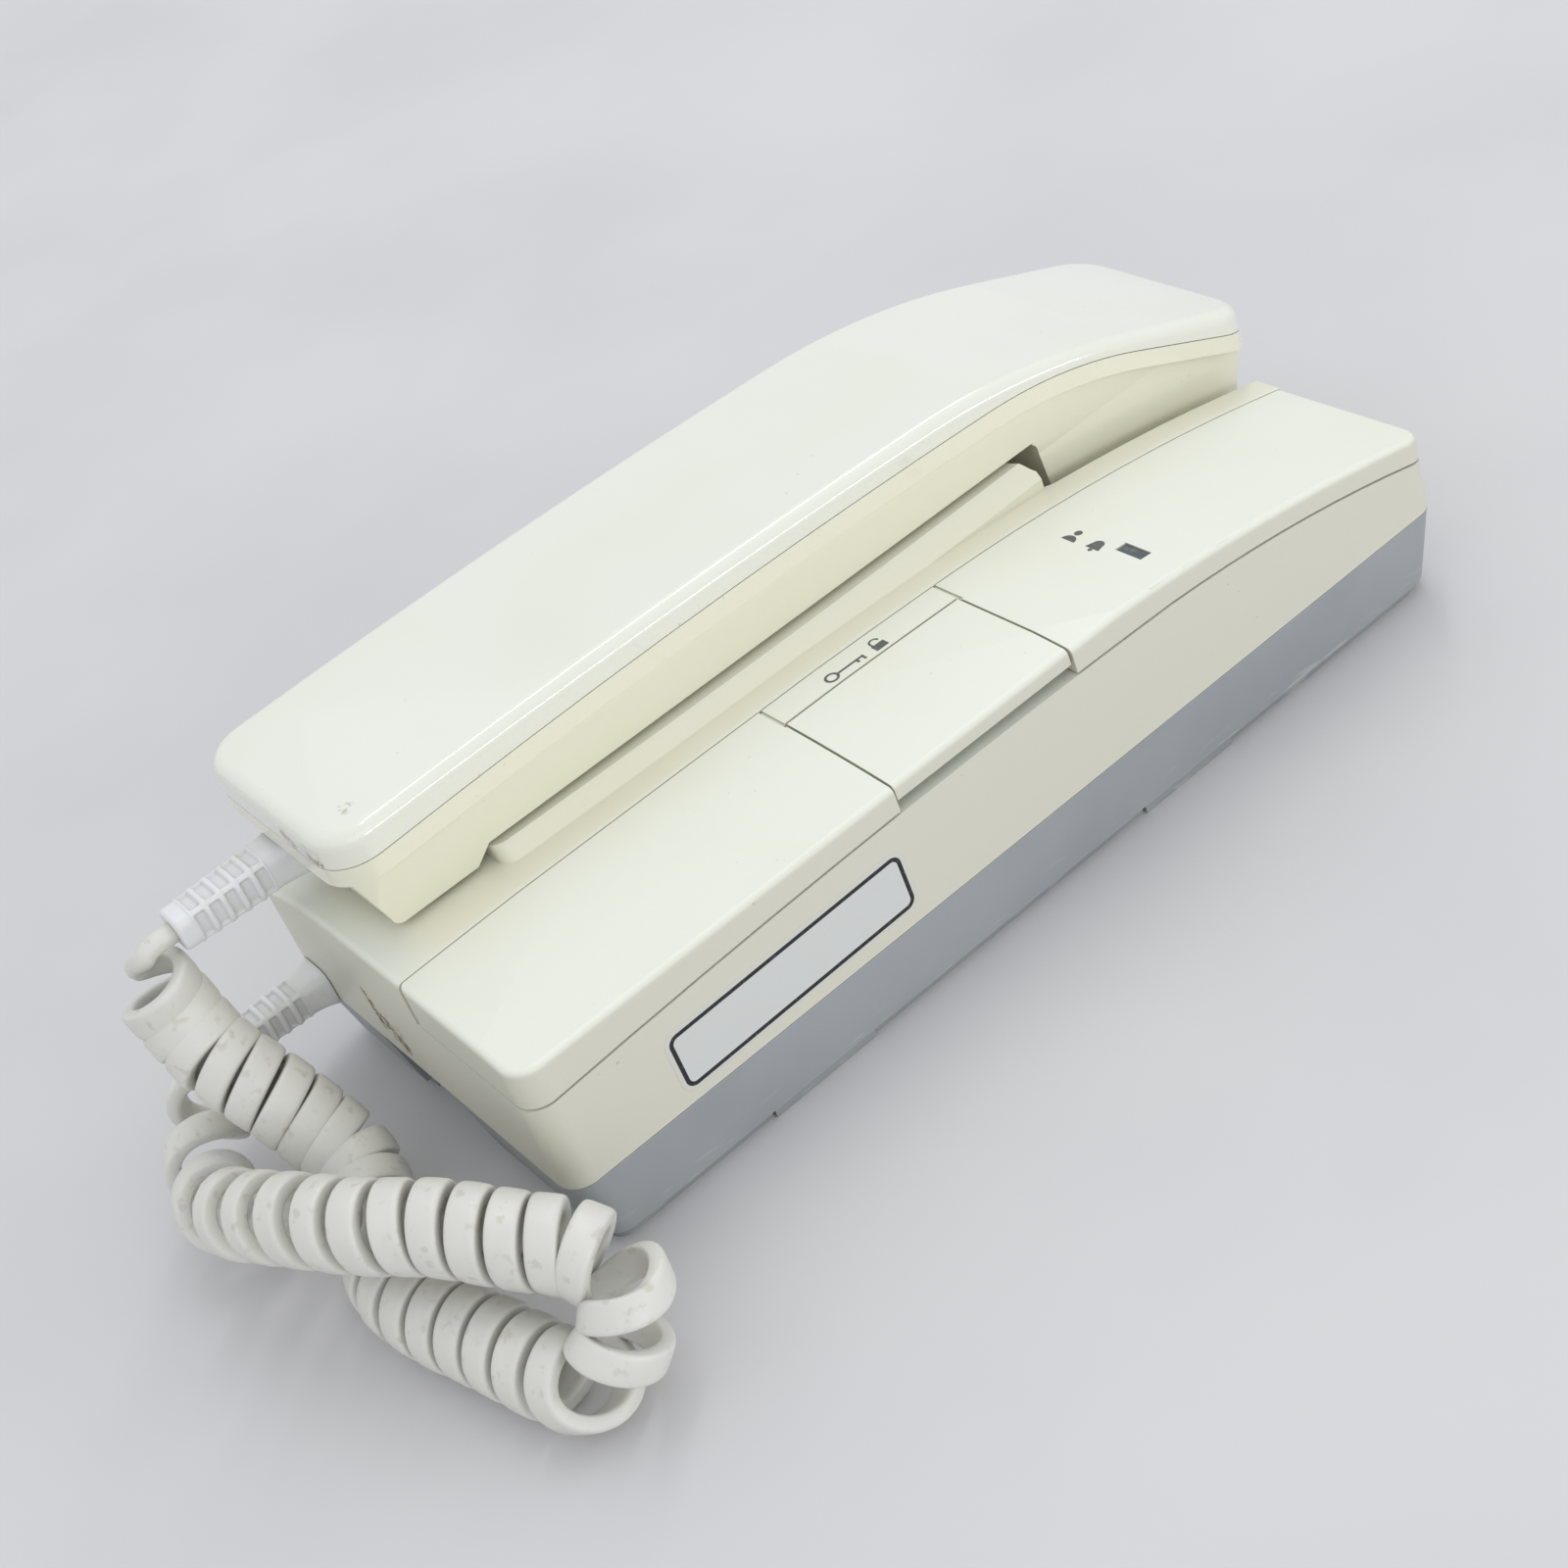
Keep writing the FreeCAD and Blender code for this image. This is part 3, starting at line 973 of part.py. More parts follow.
def speaker_cone():
    top = SPEAKER_SEAT_Z - 0.5
    outer = SPEAKER_RADIUS - 3.6
    outline = [(0, top - 5.4), (outer * 0.4, top - 6.4), (outer, top - 0.4), (outer, top),
               (outer - 0.4, top), (outer * 0.4, top - 5.8), (0, top - 4.8)]
    return spun(outline, SPEAKER_X, SPEAKER_Y)


def speaker_magnet():
    top = SPEAKER_SEAT_Z - 10.0
    magnet = cylinder((SPEAKER_X, SPEAKER_Y, top - 6.0), SPEAKER_RADIUS * 0.48, 6.0)
    return magnet.makeFillet(0.6, [e for e in magnet.Edges if abs(e.CenterOfMass.z - (top - 6.0)) < 0.01])


def hook_switch():
    """Switch block under the pocket floor, bored for the plunger and its spring."""
    top = POCKET_FLOOR_Z - WALL
    x, y = HOOK_PLUNGER_X, HOOK_PLUNGER_Y
    block = box((x - 8, x + 8), (y - 7, y + 7), (top - HOOK_BLOCK, top))
    low = top - HOOK_BLOCK + 1.2
    room = PLUNGER_LOW_Z + FLANGE_STEP + HOOK_STROKE + 0.3 - low
    block = block.cut(cylinder((x, y, low), PLUNGER_FLANGE + 0.4, room))
    return block.cut(cylinder((x, y, low), PLUNGER_RADIUS + 0.3, HOOK_BLOCK))


def hook_plunger():
    """Round plunger held down by the ear piece."""
    x, y = HOOK_PLUNGER_X, HOOK_PLUNGER_Y
    top = EAR_Z - SEAT_CLEARANCE
    step = PLUNGER_LOW_Z + FLANGE_STEP
    outline = [(0, PLUNGER_LOW_Z), (PLUNGER_FLANGE, PLUNGER_LOW_Z), (PLUNGER_FLANGE, step),
               (PLUNGER_RADIUS, step), (PLUNGER_RADIUS, top - 0.8), (PLUNGER_RADIUS - 0.8, top),
               (0, top)]
    return spun(outline, x, y)


def hook_spring():
    seat = POCKET_FLOOR_Z - WALL - HOOK_BLOCK + 1.2
    return coil_spring((HOOK_PLUNGER_X, HOOK_PLUNGER_Y, seat), 3.0, 0.45, PLUNGER_LOW_Z - seat, 3)


def handset_plan(inset, z):
    x = (HANDSET_LEFT_X + inset, HANDSET_RIGHT_X - inset)
    y = (HANDSET_FOOT_Y + inset, HANDSET_HEAD_Y - inset)
    return plan_solid(x, y, HANDSET_CORNER - inset, z)


def under_line(foot_z, slope, ends, drop, x):
    """Everything under a side view that runs in tangent arcs through ends, then straight to the head."""
    here = (HANDSET_FOOT_Y - 1.0, foot_z)
    way = math.atan(slope)
    path = [(here[0], here[1] - drop)]
    for end in ends:
        chord = math.dist(here, end)
        half_turn = math.atan2(end[1] - here[1], end[0] - here[0]) - way
        bow = -chord / 2 * math.tan(half_turn / 2)
        along = way + half_turn
        middle = ((here[0] + end[0]) / 2 - bow * math.sin(along),
                  (here[1] + end[1]) / 2 + bow * math.cos(along))
        path.append(((middle[0], middle[1] - drop), (end[0], end[1] - drop)))
        way += 2 * half_turn
        here = end
    head = HANDSET_HEAD_Y + 1.0
    path.append(((head, here[1] + math.tan(way) * (head - here[0]) - drop),))
    path += [((head, 0.0),), ((HANDSET_FOOT_Y - 1.0, 0.0),)]
    return side_solid(path, x)


def under_back(drop):
    ends = ((HANDSET_HEAD_Y - BACK_BEND_FROM_HEAD, BACK_BEND_Z),
            (HANDSET_HEAD_Y - BEND_END_FROM_HEAD, BACK_END_Z))
    return under_line(BACK_FOOT_Z, BACK_START_SLOPE, ends, drop, (HANDSET_LEFT_X, HANDSET_RIGHT_X))


def under_parting(drop):
    ends = ((HANDSET_HEAD_Y - PART_BEND_FROM_HEAD, PART_BEND_Z),
            (HANDSET_HEAD_Y - BEND_END_FROM_HEAD, PART_END_Z))
    width = (HANDSET_LEFT_X - 1, HANDSET_RIGHT_X + 1)
    return under_line(PART_FOOT_Z, PART_START_SLOPE, ends, drop, width)


def handset_outer_shell():
    """Back half of the handset: one bent cap with rounded edges."""
    solid = handset_plan(0.0, (0, FAR / 4)).common(under_back(0.0)).cut(under_parting(0.0))
    top_edges = []
    for face in solid.Faces:
        u0, u1, v0, v1 = face.ParameterRange
        normal = face.normalAt((u0 + u1) / 2, (v0 + v1) / 2)
        if normal.z > 0.5:
            top_edges += face.Edges
    rim = [e for e in top_edges if abs(e.CenterOfMass.x - HANDSET_MID_X) > 1.0 or e.BoundBox.YLength < 5.0]
    rim = [e for e in rim if not is_crossing(e)]
    solid = solid.makeFillet(BACK_EDGE_RADIUS, rim)
    inside = handset_plan(SHELL_WALL, (0, FAR / 4)).common(under_back(SHELL_WALL))
    inside = inside.cut(under_parting(1.0))
    return solid.cut(inside).removeSplitter()


def is_crossing(edge):
    """True for the inner edges where two strips of the back meet, across the handset."""
    span = edge.BoundBox
    inner = HANDSET_FOOT_Y + 1.0 < span.YMin and span.YMax < HANDSET_HEAD_Y - 1.0
    return inner and span.XLength > HANDSET_WIDTH * 0.9


def handset_lower(inset):
    """Front half of the handset as a solid: rim, tapered grip and mouth, and the ear piece."""
    rim = handset_plan(inset, (0, FAR / 4)).common(under_parting(SHELL_GAP))
    rim_band = rim.cut(under_parting(RIM_DEPTH))
    foot, head = HANDSET_FOOT_Y, HANDSET_HEAD_Y
    top = PART_LINE_Z + 1
    grip_end_y = EAR_FACE_Y + 8.0
    grip_side = [
        (foot + inset, top), ((foot + 5.4 + inset, MOUTH_Z + 2.5 + inset),),
        ((foot + 6.2 + inset, MOUTH_Z + 0.6 + inset), (foot + 8.0 + inset, MOUTH_Z + inset)),
        ((MOUTH_END_Y - 1.5 - inset, MOUTH_Z + inset),), ((MOUTH_END_Y + 2.0 - inset, GRIP_Z + inset),),
        ((grip_end_y, GRIP_Z + inset),), ((grip_end_y, top),),
    ]
    left, right = HANDSET_LEFT_X + inset, HANDSET_RIGHT_X - inset
    low_in = GRIP_TAPER + EAR_TAPER
    rim_z = PART_LINE_Z - RIM_DEPTH
    ends = [(left, top), ((left, rim_z),), ((left + GRIP_TAPER, MOUTH_Z),),
            ((left + EAR_LEFT_IN, SHOULDER_MID_Z - 1.0),), ((left + EAR_LEFT_IN, EAR_Z - 1),),
            ((right - low_in, EAR_Z - 1),), ((right - GRIP_TAPER, MOUTH_Z),), ((right, rim_z),),
            ((right, top),)]
    sides = end_solid(ends, (foot, head))
    grip = side_solid(grip_side, (left, right)).common(sides).common(rim)
    ear_side = [
        (EAR_FACE_Y - 2.6 + inset, top), ((EAR_FACE_Y - 2.6 + inset, GRIP_Z + inset),),
        ((EAR_FACE_Y - 1.4 + inset, GRIP_Z - 0.8 + inset), (EAR_FACE_Y - 0.6 + inset, GRIP_Z - 2.4),),
        ((EAR_FACE_Y + 1.6 + inset, EAR_Z + 3.0),),
        ((EAR_FACE_Y + 2.4 + inset, EAR_Z + 0.9 + inset), (EAR_FACE_Y + 4.6 + inset, EAR_Z + inset)),
        ((head - EAR_END_IN - 2.0 - inset, EAR_Z + inset),),
        ((head - EAR_END_IN - inset, EAR_Z + 2.0 + inset),),
        ((head - 3.6 - inset, EAR_Z + 13.0),), ((head - 1.2 - inset, top),),
    ]
    ear = side_solid(ear_side, (left, right)).common(sides)
    ear_y = (EAR_FACE_Y - 3.0 + inset, head - 1.0 - inset)
    ear_plan = plan_solid((left + EAR_LEFT_IN, right - low_in), ear_y, EAR_CORNER - inset / 2, (0, FAR / 4))
    sleeve = plan_solid((left, right), ear_y, EAR_CORNER + low_in / 2, (0, FAR / 4))
    ear = ear.common(ear_plan.fuse(sleeve)).common(under_parting(SHELL_GAP))
    return joined([rim_band, grip, ear])


def handset_inner_shell():
    """Front half of the handset: hollow, with the ear and mouth grilles and the screw bosses."""
    solid = handset_lower(0.0)
    upper = handset_plan(SHELL_WALL, (PART_LINE_Z - 8.0, FAR / 4)).cut(under_parting(6.0))
    hollow = handset_lower(SHELL_WALL).fuse(upper).common(handset_plan(SHELL_WALL, (0, FAR / 4)))
    shell = solid.cut(hollow)
    supports = [
        ring((RECEIVER_X, RECEIVER_Y, EAR_Z + SHELL_WALL), RECEIVER_RADIUS + 1.6, RECEIVER_RADIUS + 0.2, 5.0),
        ring((MIC_X, MIC_Y, MOUTH_Z + SHELL_WALL), MIC_RADIUS + 2.6, MIC_RADIUS + 1.2, 5.0),
    ]
    for x, y in HANDSET_SCREW_PLACES:
        supports.append(cylinder((x, y, GRIP_Z + 1.0), HANDSET_BOSS, HANDSET_BOSS_TOP - GRIP_Z - 1.0))
    for side in (-1, 1):
        mid = HANDSET_MID_X + side * 11.0
        supports.append(box((mid - 0.8, mid + 0.8), WEIGHT_Y, (GRIP_Z + 1.0, GRIP_Z + SHELL_WALL + 3.0)))
    shell = shell.multiFuse(supports)
    for step in range(6):
        angle = step * math.pi / 3
        at = (RECEIVER_X + 6.0 * math.cos(angle), RECEIVER_Y + 6.0 * math.sin(angle), EAR_Z - 1)
        shell = shell.cut(cylinder(at, 1.1, SHELL_WALL + 2))
    shell = shell.cut(cylinder((RECEIVER_X, RECEIVER_Y, EAR_Z - 1), 1.1, SHELL_WALL + 2))
    for offset in (-3.0, 0.0, 3.0):
        shell = shell.cut(cylinder((MIC_X + offset, MIC_Y, MOUTH_Z - 1), 0.8, SHELL_WALL + 2))
    for x, y in HANDSET_SCREW_PLACES:
        shell = shell.cut(cylinder((x, y, GRIP_Z - 1), SMALL_HEAD_RADIUS + 0.3, 3.4))
        shell = shell.cut(cylinder((x, y, GRIP_Z - 1), SMALL_SCREW_RADIUS + 0.15,
                                   HANDSET_BOSS_TOP - GRIP_Z + 2))
    x, y, z = HANDSET_RELIEF_AT
    shell = shell.cut(cylinder((x, y - 6, z), NECK_RADIUS + NECK_CLEARANCE, 14.0, Y_AXIS))
    return shell.removeSplitter()


def handset_bosses(shell):
    """Adds the outer shell's two screw bosses."""
    bosses = []
    for x, y in HANDSET_SCREW_PLACES:
        boss = cylinder((x, y, HANDSET_BOSS_TOP + 0.1), HANDSET_BOSS, 30.0)
        boss = boss.common(under_back(SHELL_WALL / 2))
        pilot = cylinder((x, y, 0), SMALL_SCREW_RADIUS + SCREW_CLEARANCE, HANDSET_BOSS_TOP + 5.0)
        bosses.append(boss.cut(pilot))
    return shell.multiFuse(bosses).removeSplitter()


def handset_screws():
    screws = []
    for x, y in HANDSET_SCREW_PLACES:
        low = GRIP_Z + 0.4
        head = cylinder((x, y, low + 0.4), SMALL_HEAD_RADIUS, SMALL_HEAD_HEIGHT)
        shank_length = HANDSET_BOSS_TOP + 4.4 - low - SMALL_HEAD_HEIGHT
        shank = cylinder((x, y, low + SMALL_HEAD_HEIGHT), SMALL_SCREW_RADIUS, shank_length)
        slot = box((x - 3, x + 3), (y - 0.4, y + 0.4), (low, low + 1.0))
        screws.append(head.fuse(shank).removeSplitter().cut(slot))
    return Part.makeCompound(screws)


def receiver_capsule():
    low = EAR_Z + SHELL_WALL + GASKET
    outline = [(0, low), (RECEIVER_RADIUS, low), (RECEIVER_RADIUS, low + 4.0),
               (RECEIVER_RADIUS - 1.5, low + 4.0), (RECEIVER_RADIUS * 0.6, low + 8.5), (0, low + 8.5)]
    return spun(outline, RECEIVER_X, RECEIVER_Y)


def receiver_gasket():
    return ring((RECEIVER_X, RECEIVER_Y, EAR_Z + SHELL_WALL), RECEIVER_RADIUS, RECEIVER_RADIUS - 2.5, GASKET)


def microphone_capsule():
    low = MOUTH_Z + SHELL_WALL + 0.8
    body = cylinder((MIC_X, MIC_Y, low), MIC_RADIUS, 5.4)
    return body.makeFillet(0.5, [e for e in body.Edges if abs(e.CenterOfMass.z - (low + 5.4)) < 0.01])


def microphone_boot():
    low = MOUTH_Z + SHELL_WALL
    cup = cylinder((MIC_X, MIC_Y, low), MIC_RADIUS + 1.1, 4.6)
    cup = cup.cut(cylinder((MIC_X, MIC_Y, low + 0.8), MIC_RADIUS, 10.0))
    return cup.cut(cylinder((MIC_X, MIC_Y, low - 1), MIC_RADIUS - 0.1, 3.0))


def handset_weight():
    """Steel bar in the grip, which makes the handset press the hook plunger."""
    low = GRIP_Z + SHELL_WALL
    bar = box((HANDSET_MID_X - 10.0, HANDSET_MID_X + 10.0), WEIGHT_Y, (low, low + 5.0))
    return bar.makeChamfer(0.6, [e for e in bar.Edges if e.BoundBox.ZLength < 0.01])


def strain_relief(at, length, width, flare, neck_length):
    """Moulded relief along -Y: flange and neck inside the wall, a flared base, windowed ribs, end collar."""
    x, y, z = at
    half = width / 2

    def section(y_at, extra, radius):
        a = radius * (1 - math.sqrt(0.5))
        w, h = half + extra, half * 0.9 + extra
        path = [(x - w + radius, z - h),
                ((x + w - radius, z - h),), ((x + w - a, z - h + a), (x + w, z - h + radius)),
                ((x + w, z + h - radius),), ((x + w - a, z + h - a), (x + w - radius, z + h)),
                ((x - w + radius, z + h),),
                ((x - w + a, z + h - a), (x - w, z + h - radius)), ((x - w, z - h + radius),),
                ((x - w + a, z - h + a), (x - w + radius, z - h))]
        return path_wire(path, lambda p: Vector(p[0], y_at, p[1]))
    base_end = y - length * 0.26
    tip = y - length
    base = Part.makeLoft([section(y, flare / 2, 2.6), section(base_end, 0.0, 2.0)], True, True)
    core = Part.makeLoft([section(base_end, 0.0, 2.0), section(tip, -0.6, 2.0)], True, True)
    ribs = 5
    collar = 3.4
    pitch = (base_end - tip - collar) / ribs
    for place in range(ribs):
        high = base_end - pitch * place - pitch * 0.25
        span = (high - pitch * 0.55, high)
        for low_x, high_x in ((x - half - 2, x - half * 0.72), (x + half * 0.72, x + half + 2)):
            core = core.cut(box((low_x, high_x), span, (z - half * 0.45, z + half * 0.45)))
        for low_z, high_z in ((z - half - 2, z - half * 0.62), (z + half * 0.62, z + half + 2)):
            core = core.cut(box((x - half * 0.5, x + half * 0.5), span, (low_z, high_z)))
    neck = cylinder((x, y - 0.5, z), NECK_RADIUS, neck_length + 0.5 + FLANGE_THICKNESS, Y_AXIS)
    flange = cylinder((x, y + neck_length, z), FLANGE_RADIUS, FLANGE_THICKNESS, Y_AXIS)
    return joined([base, core, neck, flange])


def handset_strain_relief():
    relief = strain_relief(HANDSET_RELIEF_AT, HANDSET_RELIEF_LENGTH, RELIEF_WIDTH, RELIEF_FLARE, HANDSET_NECK)
    x, y, z = HANDSET_RELIEF_AT
    neck = cylinder((x, y - 6, z), NECK_RADIUS, 7.0 + HANDSET_NECK, Y_AXIS)
    return relief.cut(handset_lower(-SEAT_CLEARANCE)).fuse(neck).removeSplitter()


def base_strain_relief():
    at = (BODY_RELIEF_X, -HALF_L - SEAT_CLEARANCE, BODY_RELIEF_Z)
    neck = WALL + SEAT_CLEARANCE + BODY_NECK
    return strain_relief(at, BODY_RELIEF_LENGTH, BODY_RELIEF_WIDTH, BODY_RELIEF_FLARE, neck)


def route_curve(points):
    """Quadratic B-spline that starts and ends on its first and last points."""
    shift = -HALF_L - ROUTE_FOOT_Y
    poles = [Vector(x, y + shift, z) for x, y, z in points]
    spans = len(poles) - 2
    curve = Part.BSplineCurve()
    curve.buildFromPolesMultsKnots(poles, [3] + [1] * (spans - 1) + [3], list(range(spans + 1)), False, 2)
    return curve


def curl_pitch(at):
    """Pitch of the relaxed curls along the route, between the stations of CURL_PITCHES."""
    for (low, pitch), (high, following) in zip(CURL_PITCHES, CURL_PITCHES[1:]):
        if at <= high:
            return pitch + (following - pitch) * (at - low) / (high - low)
    return CURL_PITCHES[-1][1]


def curl_points(curve, radius, straight):
    """Walks the route and winds round it. Returns a point and direction at each half turn."""
    total = curve.length()
    count = int(total / WALK_STEP)
    step = total / count
    normal = Vector(-1, 0, 0)
    phase = 0.0
    track = []
    for place in range(count + 1):
        at = place * step
        u = curve.parameterAtDistance(at)
        along = curve.tangent(u)[0]
        normal = (normal - along * normal.dot(along)).normalize()
        side = along.cross(normal)
        opening = min(max(min(at, total - at) - straight, 0) / CURL_RAMP, 1)
        reach = radius * opening ** 2 * (3 - 2 * opening)
        room = 1 - min(curve.curvature(u) * reach, 0.8)
        open_pitch = 2 * math.pi * math.sqrt(max(reach * (CURL_BEND - reach), 0))
        if at > straight:
            phase += 2 * math.pi * step / max(curl_pitch(at), CURL_INNER_PITCH / room, open_pitch)
        offset = normal * (reach * math.cos(phase)) + side * (reach * math.sin(phase))
        track.append((phase, curve.value(u) + offset))
    picked = [0, round(straight / step)]
    for place in range(picked[1] + 1, count - picked[1]):
        if int(track[place][0] / math.pi) > int(track[place - 1][0] / math.pi):
            picked.append(place)
    if track[count][0] - track[picked[-1]][0] < math.pi * 0.8:
        picked.pop()
    picked += [count - picked[1], count]
    nodes = []
    for place in picked:
        before, after = max(place - 1, 0), min(place + 1, count)
        nodes.append((track[place][1], (track[after][1] - track[before][1]).normalize()))
    for end, u in ((0, curve.FirstParameter), (-1, curve.LastParameter)):
        nodes[end] = (curve.value(u), curve.tangent(u)[0])
    return nodes, phase / (2 * math.pi)


def half_arc(start, corner, end):
    """The arc that leaves start towards corner and reaches end, as an edge."""
    chord_mid = (start + end) * 0.5
    turn = (corner - start).getAngle(end - corner) / 2
    if turn < 0.001:
        return Part.makeLine(start, end)
    share = math.cos(turn) / (1 + math.cos(turn))
    return Part.Arc(start, chord_mid + (corner - chord_mid) * share, end).toShape()


def biarc(start, start_way, end, end_way):
    """Two tangent arcs between two points with given directions."""
    chord = end - start
    both = start_way + end_way
    spread = 2 * (1 - start_way.dot(end_way))
    reach = chord.dot(both)
    if spread < 1e-6:
        arm = chord.dot(chord) / (2 * reach)
    else:
        arm = (math.sqrt(reach ** 2 + spread * chord.dot(chord)) - reach) / spread
    first = start + start_way * arm
    second = end - end_way * arm
    middle = (first + second) * 0.5
    return [half_arc(start, first, middle), half_arc(middle, second, end)]


def wound_tube(nodes, diameter):
    """A round tube on biarcs through the nodes. Prints its length and its least gap to itself."""
    edges = []
    for (start, start_way), (end, end_way) in zip(nodes, nodes[1:]):
        edges += biarc(start, start_way, end, end_way)
    path = Part.Wire(edges)
    section = Part.Wire(Part.Circle(nodes[0][0], nodes[0][1], diameter / 2).toShape())
    tube = path.makePipeShell([section], True, False)
    radii = [edge.Curve.Radius for edge in edges if isinstance(edge.Curve, Part.Circle)]
    points = []
    for edge in edges:
        parts = max(1, round(edge.Length / diameter * 3))
        first, last = edge.ParameterRange
        points += [edge.valueAt(first + (last - first) * part / parts) for part in range(parts)]
    apart = 3 * 3
    count = len(points)
    least = min(points[i].distanceToPoint(points[j]) for i in range(count) for j in range(i + apart, count))
    print("tube length", round(path.Length), "least radius", round(min(radii), 2))
    print("least gap", round(least - diameter, 2))
    return tube


def curly_cord():
    curve = route_curve(CORD_ROUTE)
    nodes, turns = curl_points(curve, (COIL_DIAMETER - CORD_DIAMETER) / 2, CORD_DIAMETER)
    print("cord route", round(curve.length()), "turns", round(turns, 1))
    return wound_tube(nodes, CORD_DIAMETER)


def save(name, shape):
    shape.exportStep("parts/" + name + ".step")
    print(name, len(shape.Solids), "solids, volume", round(shape.Volume, 1), "valid", shape.isValid())


save("wall_bracket", wall_bracket())
save("rear_case", rear_case())
save("front_case", front_case())
save("front_cover", front_cover())
save("lamp_window", lamp_window())
save("release_key", release_key())
save("key_hinge_pin", key_hinge_pin())
save("key_spring", key_spring())
save("key_switch", key_switch())
save("switch_plunger", switch_plunger())
save("main_board", main_board())
save("board_screws", board_screws())
save("case_screws", case_screws())
save("call_lamp", call_lamp())
save("capacitors", capacitors())
save("line_relay", line_relay())
save("audio_chip", audio_chip())
save("cord_socket", cord_socket())
save("transformer_core", transformer_core())
save("transformer_coil", transformer_coil())
save("terminal_block", terminal_block())
save("terminal_screws", terminal_screws())
save("speaker_frame", speaker_frame())
save("speaker_cone", speaker_cone())
save("speaker_magnet", speaker_magnet())
save("hook_switch", hook_switch())
save("hook_plunger", hook_plunger())
save("hook_spring", hook_spring())
save("handset_outer_shell", handset_bosses(handset_outer_shell()))
save("handset_inner_shell", handset_inner_shell())
save("handset_screws", handset_screws())
save("receiver_capsule", receiver_capsule())
save("receiver_gasket", receiver_gasket())
save("microphone_capsule", microphone_capsule())
save("microphone_boot", microphone_boot())
save("handset_weight", handset_weight())
save("handset_strain_relief", handset_strain_relief())
save("curly_cord", curly_cord())
save("base_strain_relief", base_strain_relief())
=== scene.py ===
# %% [markdown]
# An intercom indoor station lying on its back, dressed in Blender.
# The shapes come from the packed CAD model, in metres, and this script never moves them.
# It adds the camera, the studio, the curly cord, the small prints and every finish.

# %% Load the frame
import math

import bmesh
import bpy
from mathutils import Matrix, Vector
from mathutils.bvhtree import BVHTree


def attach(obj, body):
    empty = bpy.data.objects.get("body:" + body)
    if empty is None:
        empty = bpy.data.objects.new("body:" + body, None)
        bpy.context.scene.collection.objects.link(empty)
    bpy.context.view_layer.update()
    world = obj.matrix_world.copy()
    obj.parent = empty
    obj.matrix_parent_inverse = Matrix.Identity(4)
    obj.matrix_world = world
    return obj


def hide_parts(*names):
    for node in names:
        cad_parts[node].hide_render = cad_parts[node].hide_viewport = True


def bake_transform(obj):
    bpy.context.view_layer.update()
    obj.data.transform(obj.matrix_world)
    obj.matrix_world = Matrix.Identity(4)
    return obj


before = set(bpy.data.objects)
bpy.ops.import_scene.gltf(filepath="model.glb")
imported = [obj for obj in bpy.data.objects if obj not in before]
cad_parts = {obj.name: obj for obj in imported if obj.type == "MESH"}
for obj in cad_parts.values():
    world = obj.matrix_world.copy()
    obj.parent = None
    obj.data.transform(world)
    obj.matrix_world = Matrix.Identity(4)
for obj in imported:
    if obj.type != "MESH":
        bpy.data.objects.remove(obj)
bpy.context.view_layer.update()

MM = 0.001
print("CAD pieces", sorted(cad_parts))

# %% [markdown]
# The camera comes first, because the free cord is judged by what the camera sees.
# Its place and turn were solved from the station's straight edges in the photograph.
# Three angles, azimuth, height and roll, keep the turn readable, and a long lens of
# 59 mm gives the mild perspective that the edges show.

# %% Camera
CAMERA_AT = Vector((0.35007, -0.18797, 0.30925))
CAMERA_AZIMUTH = math.radians(64.593)
CAMERA_HEIGHT = math.radians(36.582)
CAMERA_ROLL = math.radians(-21.575)
CAMERA_LENS = 58.88
SENSOR_WIDTH = 36


def camera_turn(azimuth, height, roll):
    """The camera's own axes, as the columns of a matrix."""
    back = Vector((math.sin(azimuth) * math.cos(height), -math.cos(azimuth) * math.cos(height),
                   math.sin(height)))
    level = Vector((math.cos(azimuth), math.sin(azimuth), 0))
    upward = back.cross(level)
    right = level * math.cos(roll) + upward * math.sin(roll)
    up = upward * math.cos(roll) - level * math.sin(roll)
    return Matrix((right, up, back)).transposed()


camera_data = bpy.data.cameras.new("photo_camera")
camera_data.lens = CAMERA_LENS
camera_data.sensor_width = SENSOR_WIDTH
camera = bpy.data.objects.new("photo_camera", camera_data)
turn = camera_turn(CAMERA_AZIMUTH, CAMERA_HEIGHT, CAMERA_ROLL).to_4x4()
camera.matrix_world = Matrix.Translation(CAMERA_AT) @ turn
bpy.context.collection.objects.link(camera)
bpy.context.scene.camera = camera
print("camera at", tuple(camera.location), "lens", camera_data.lens)

# %% [markdown]
# A curly cord is a flat band wound into a spring and baked so. Laid down, its axis follows
# one smooth line, so the line comes first: a NURBS spline whose control points are the
# cord's route. Order 3 with its ends held gives a curve that stays near its points and
# never overshoots. Both settings come after the points, because set earlier they are lost.

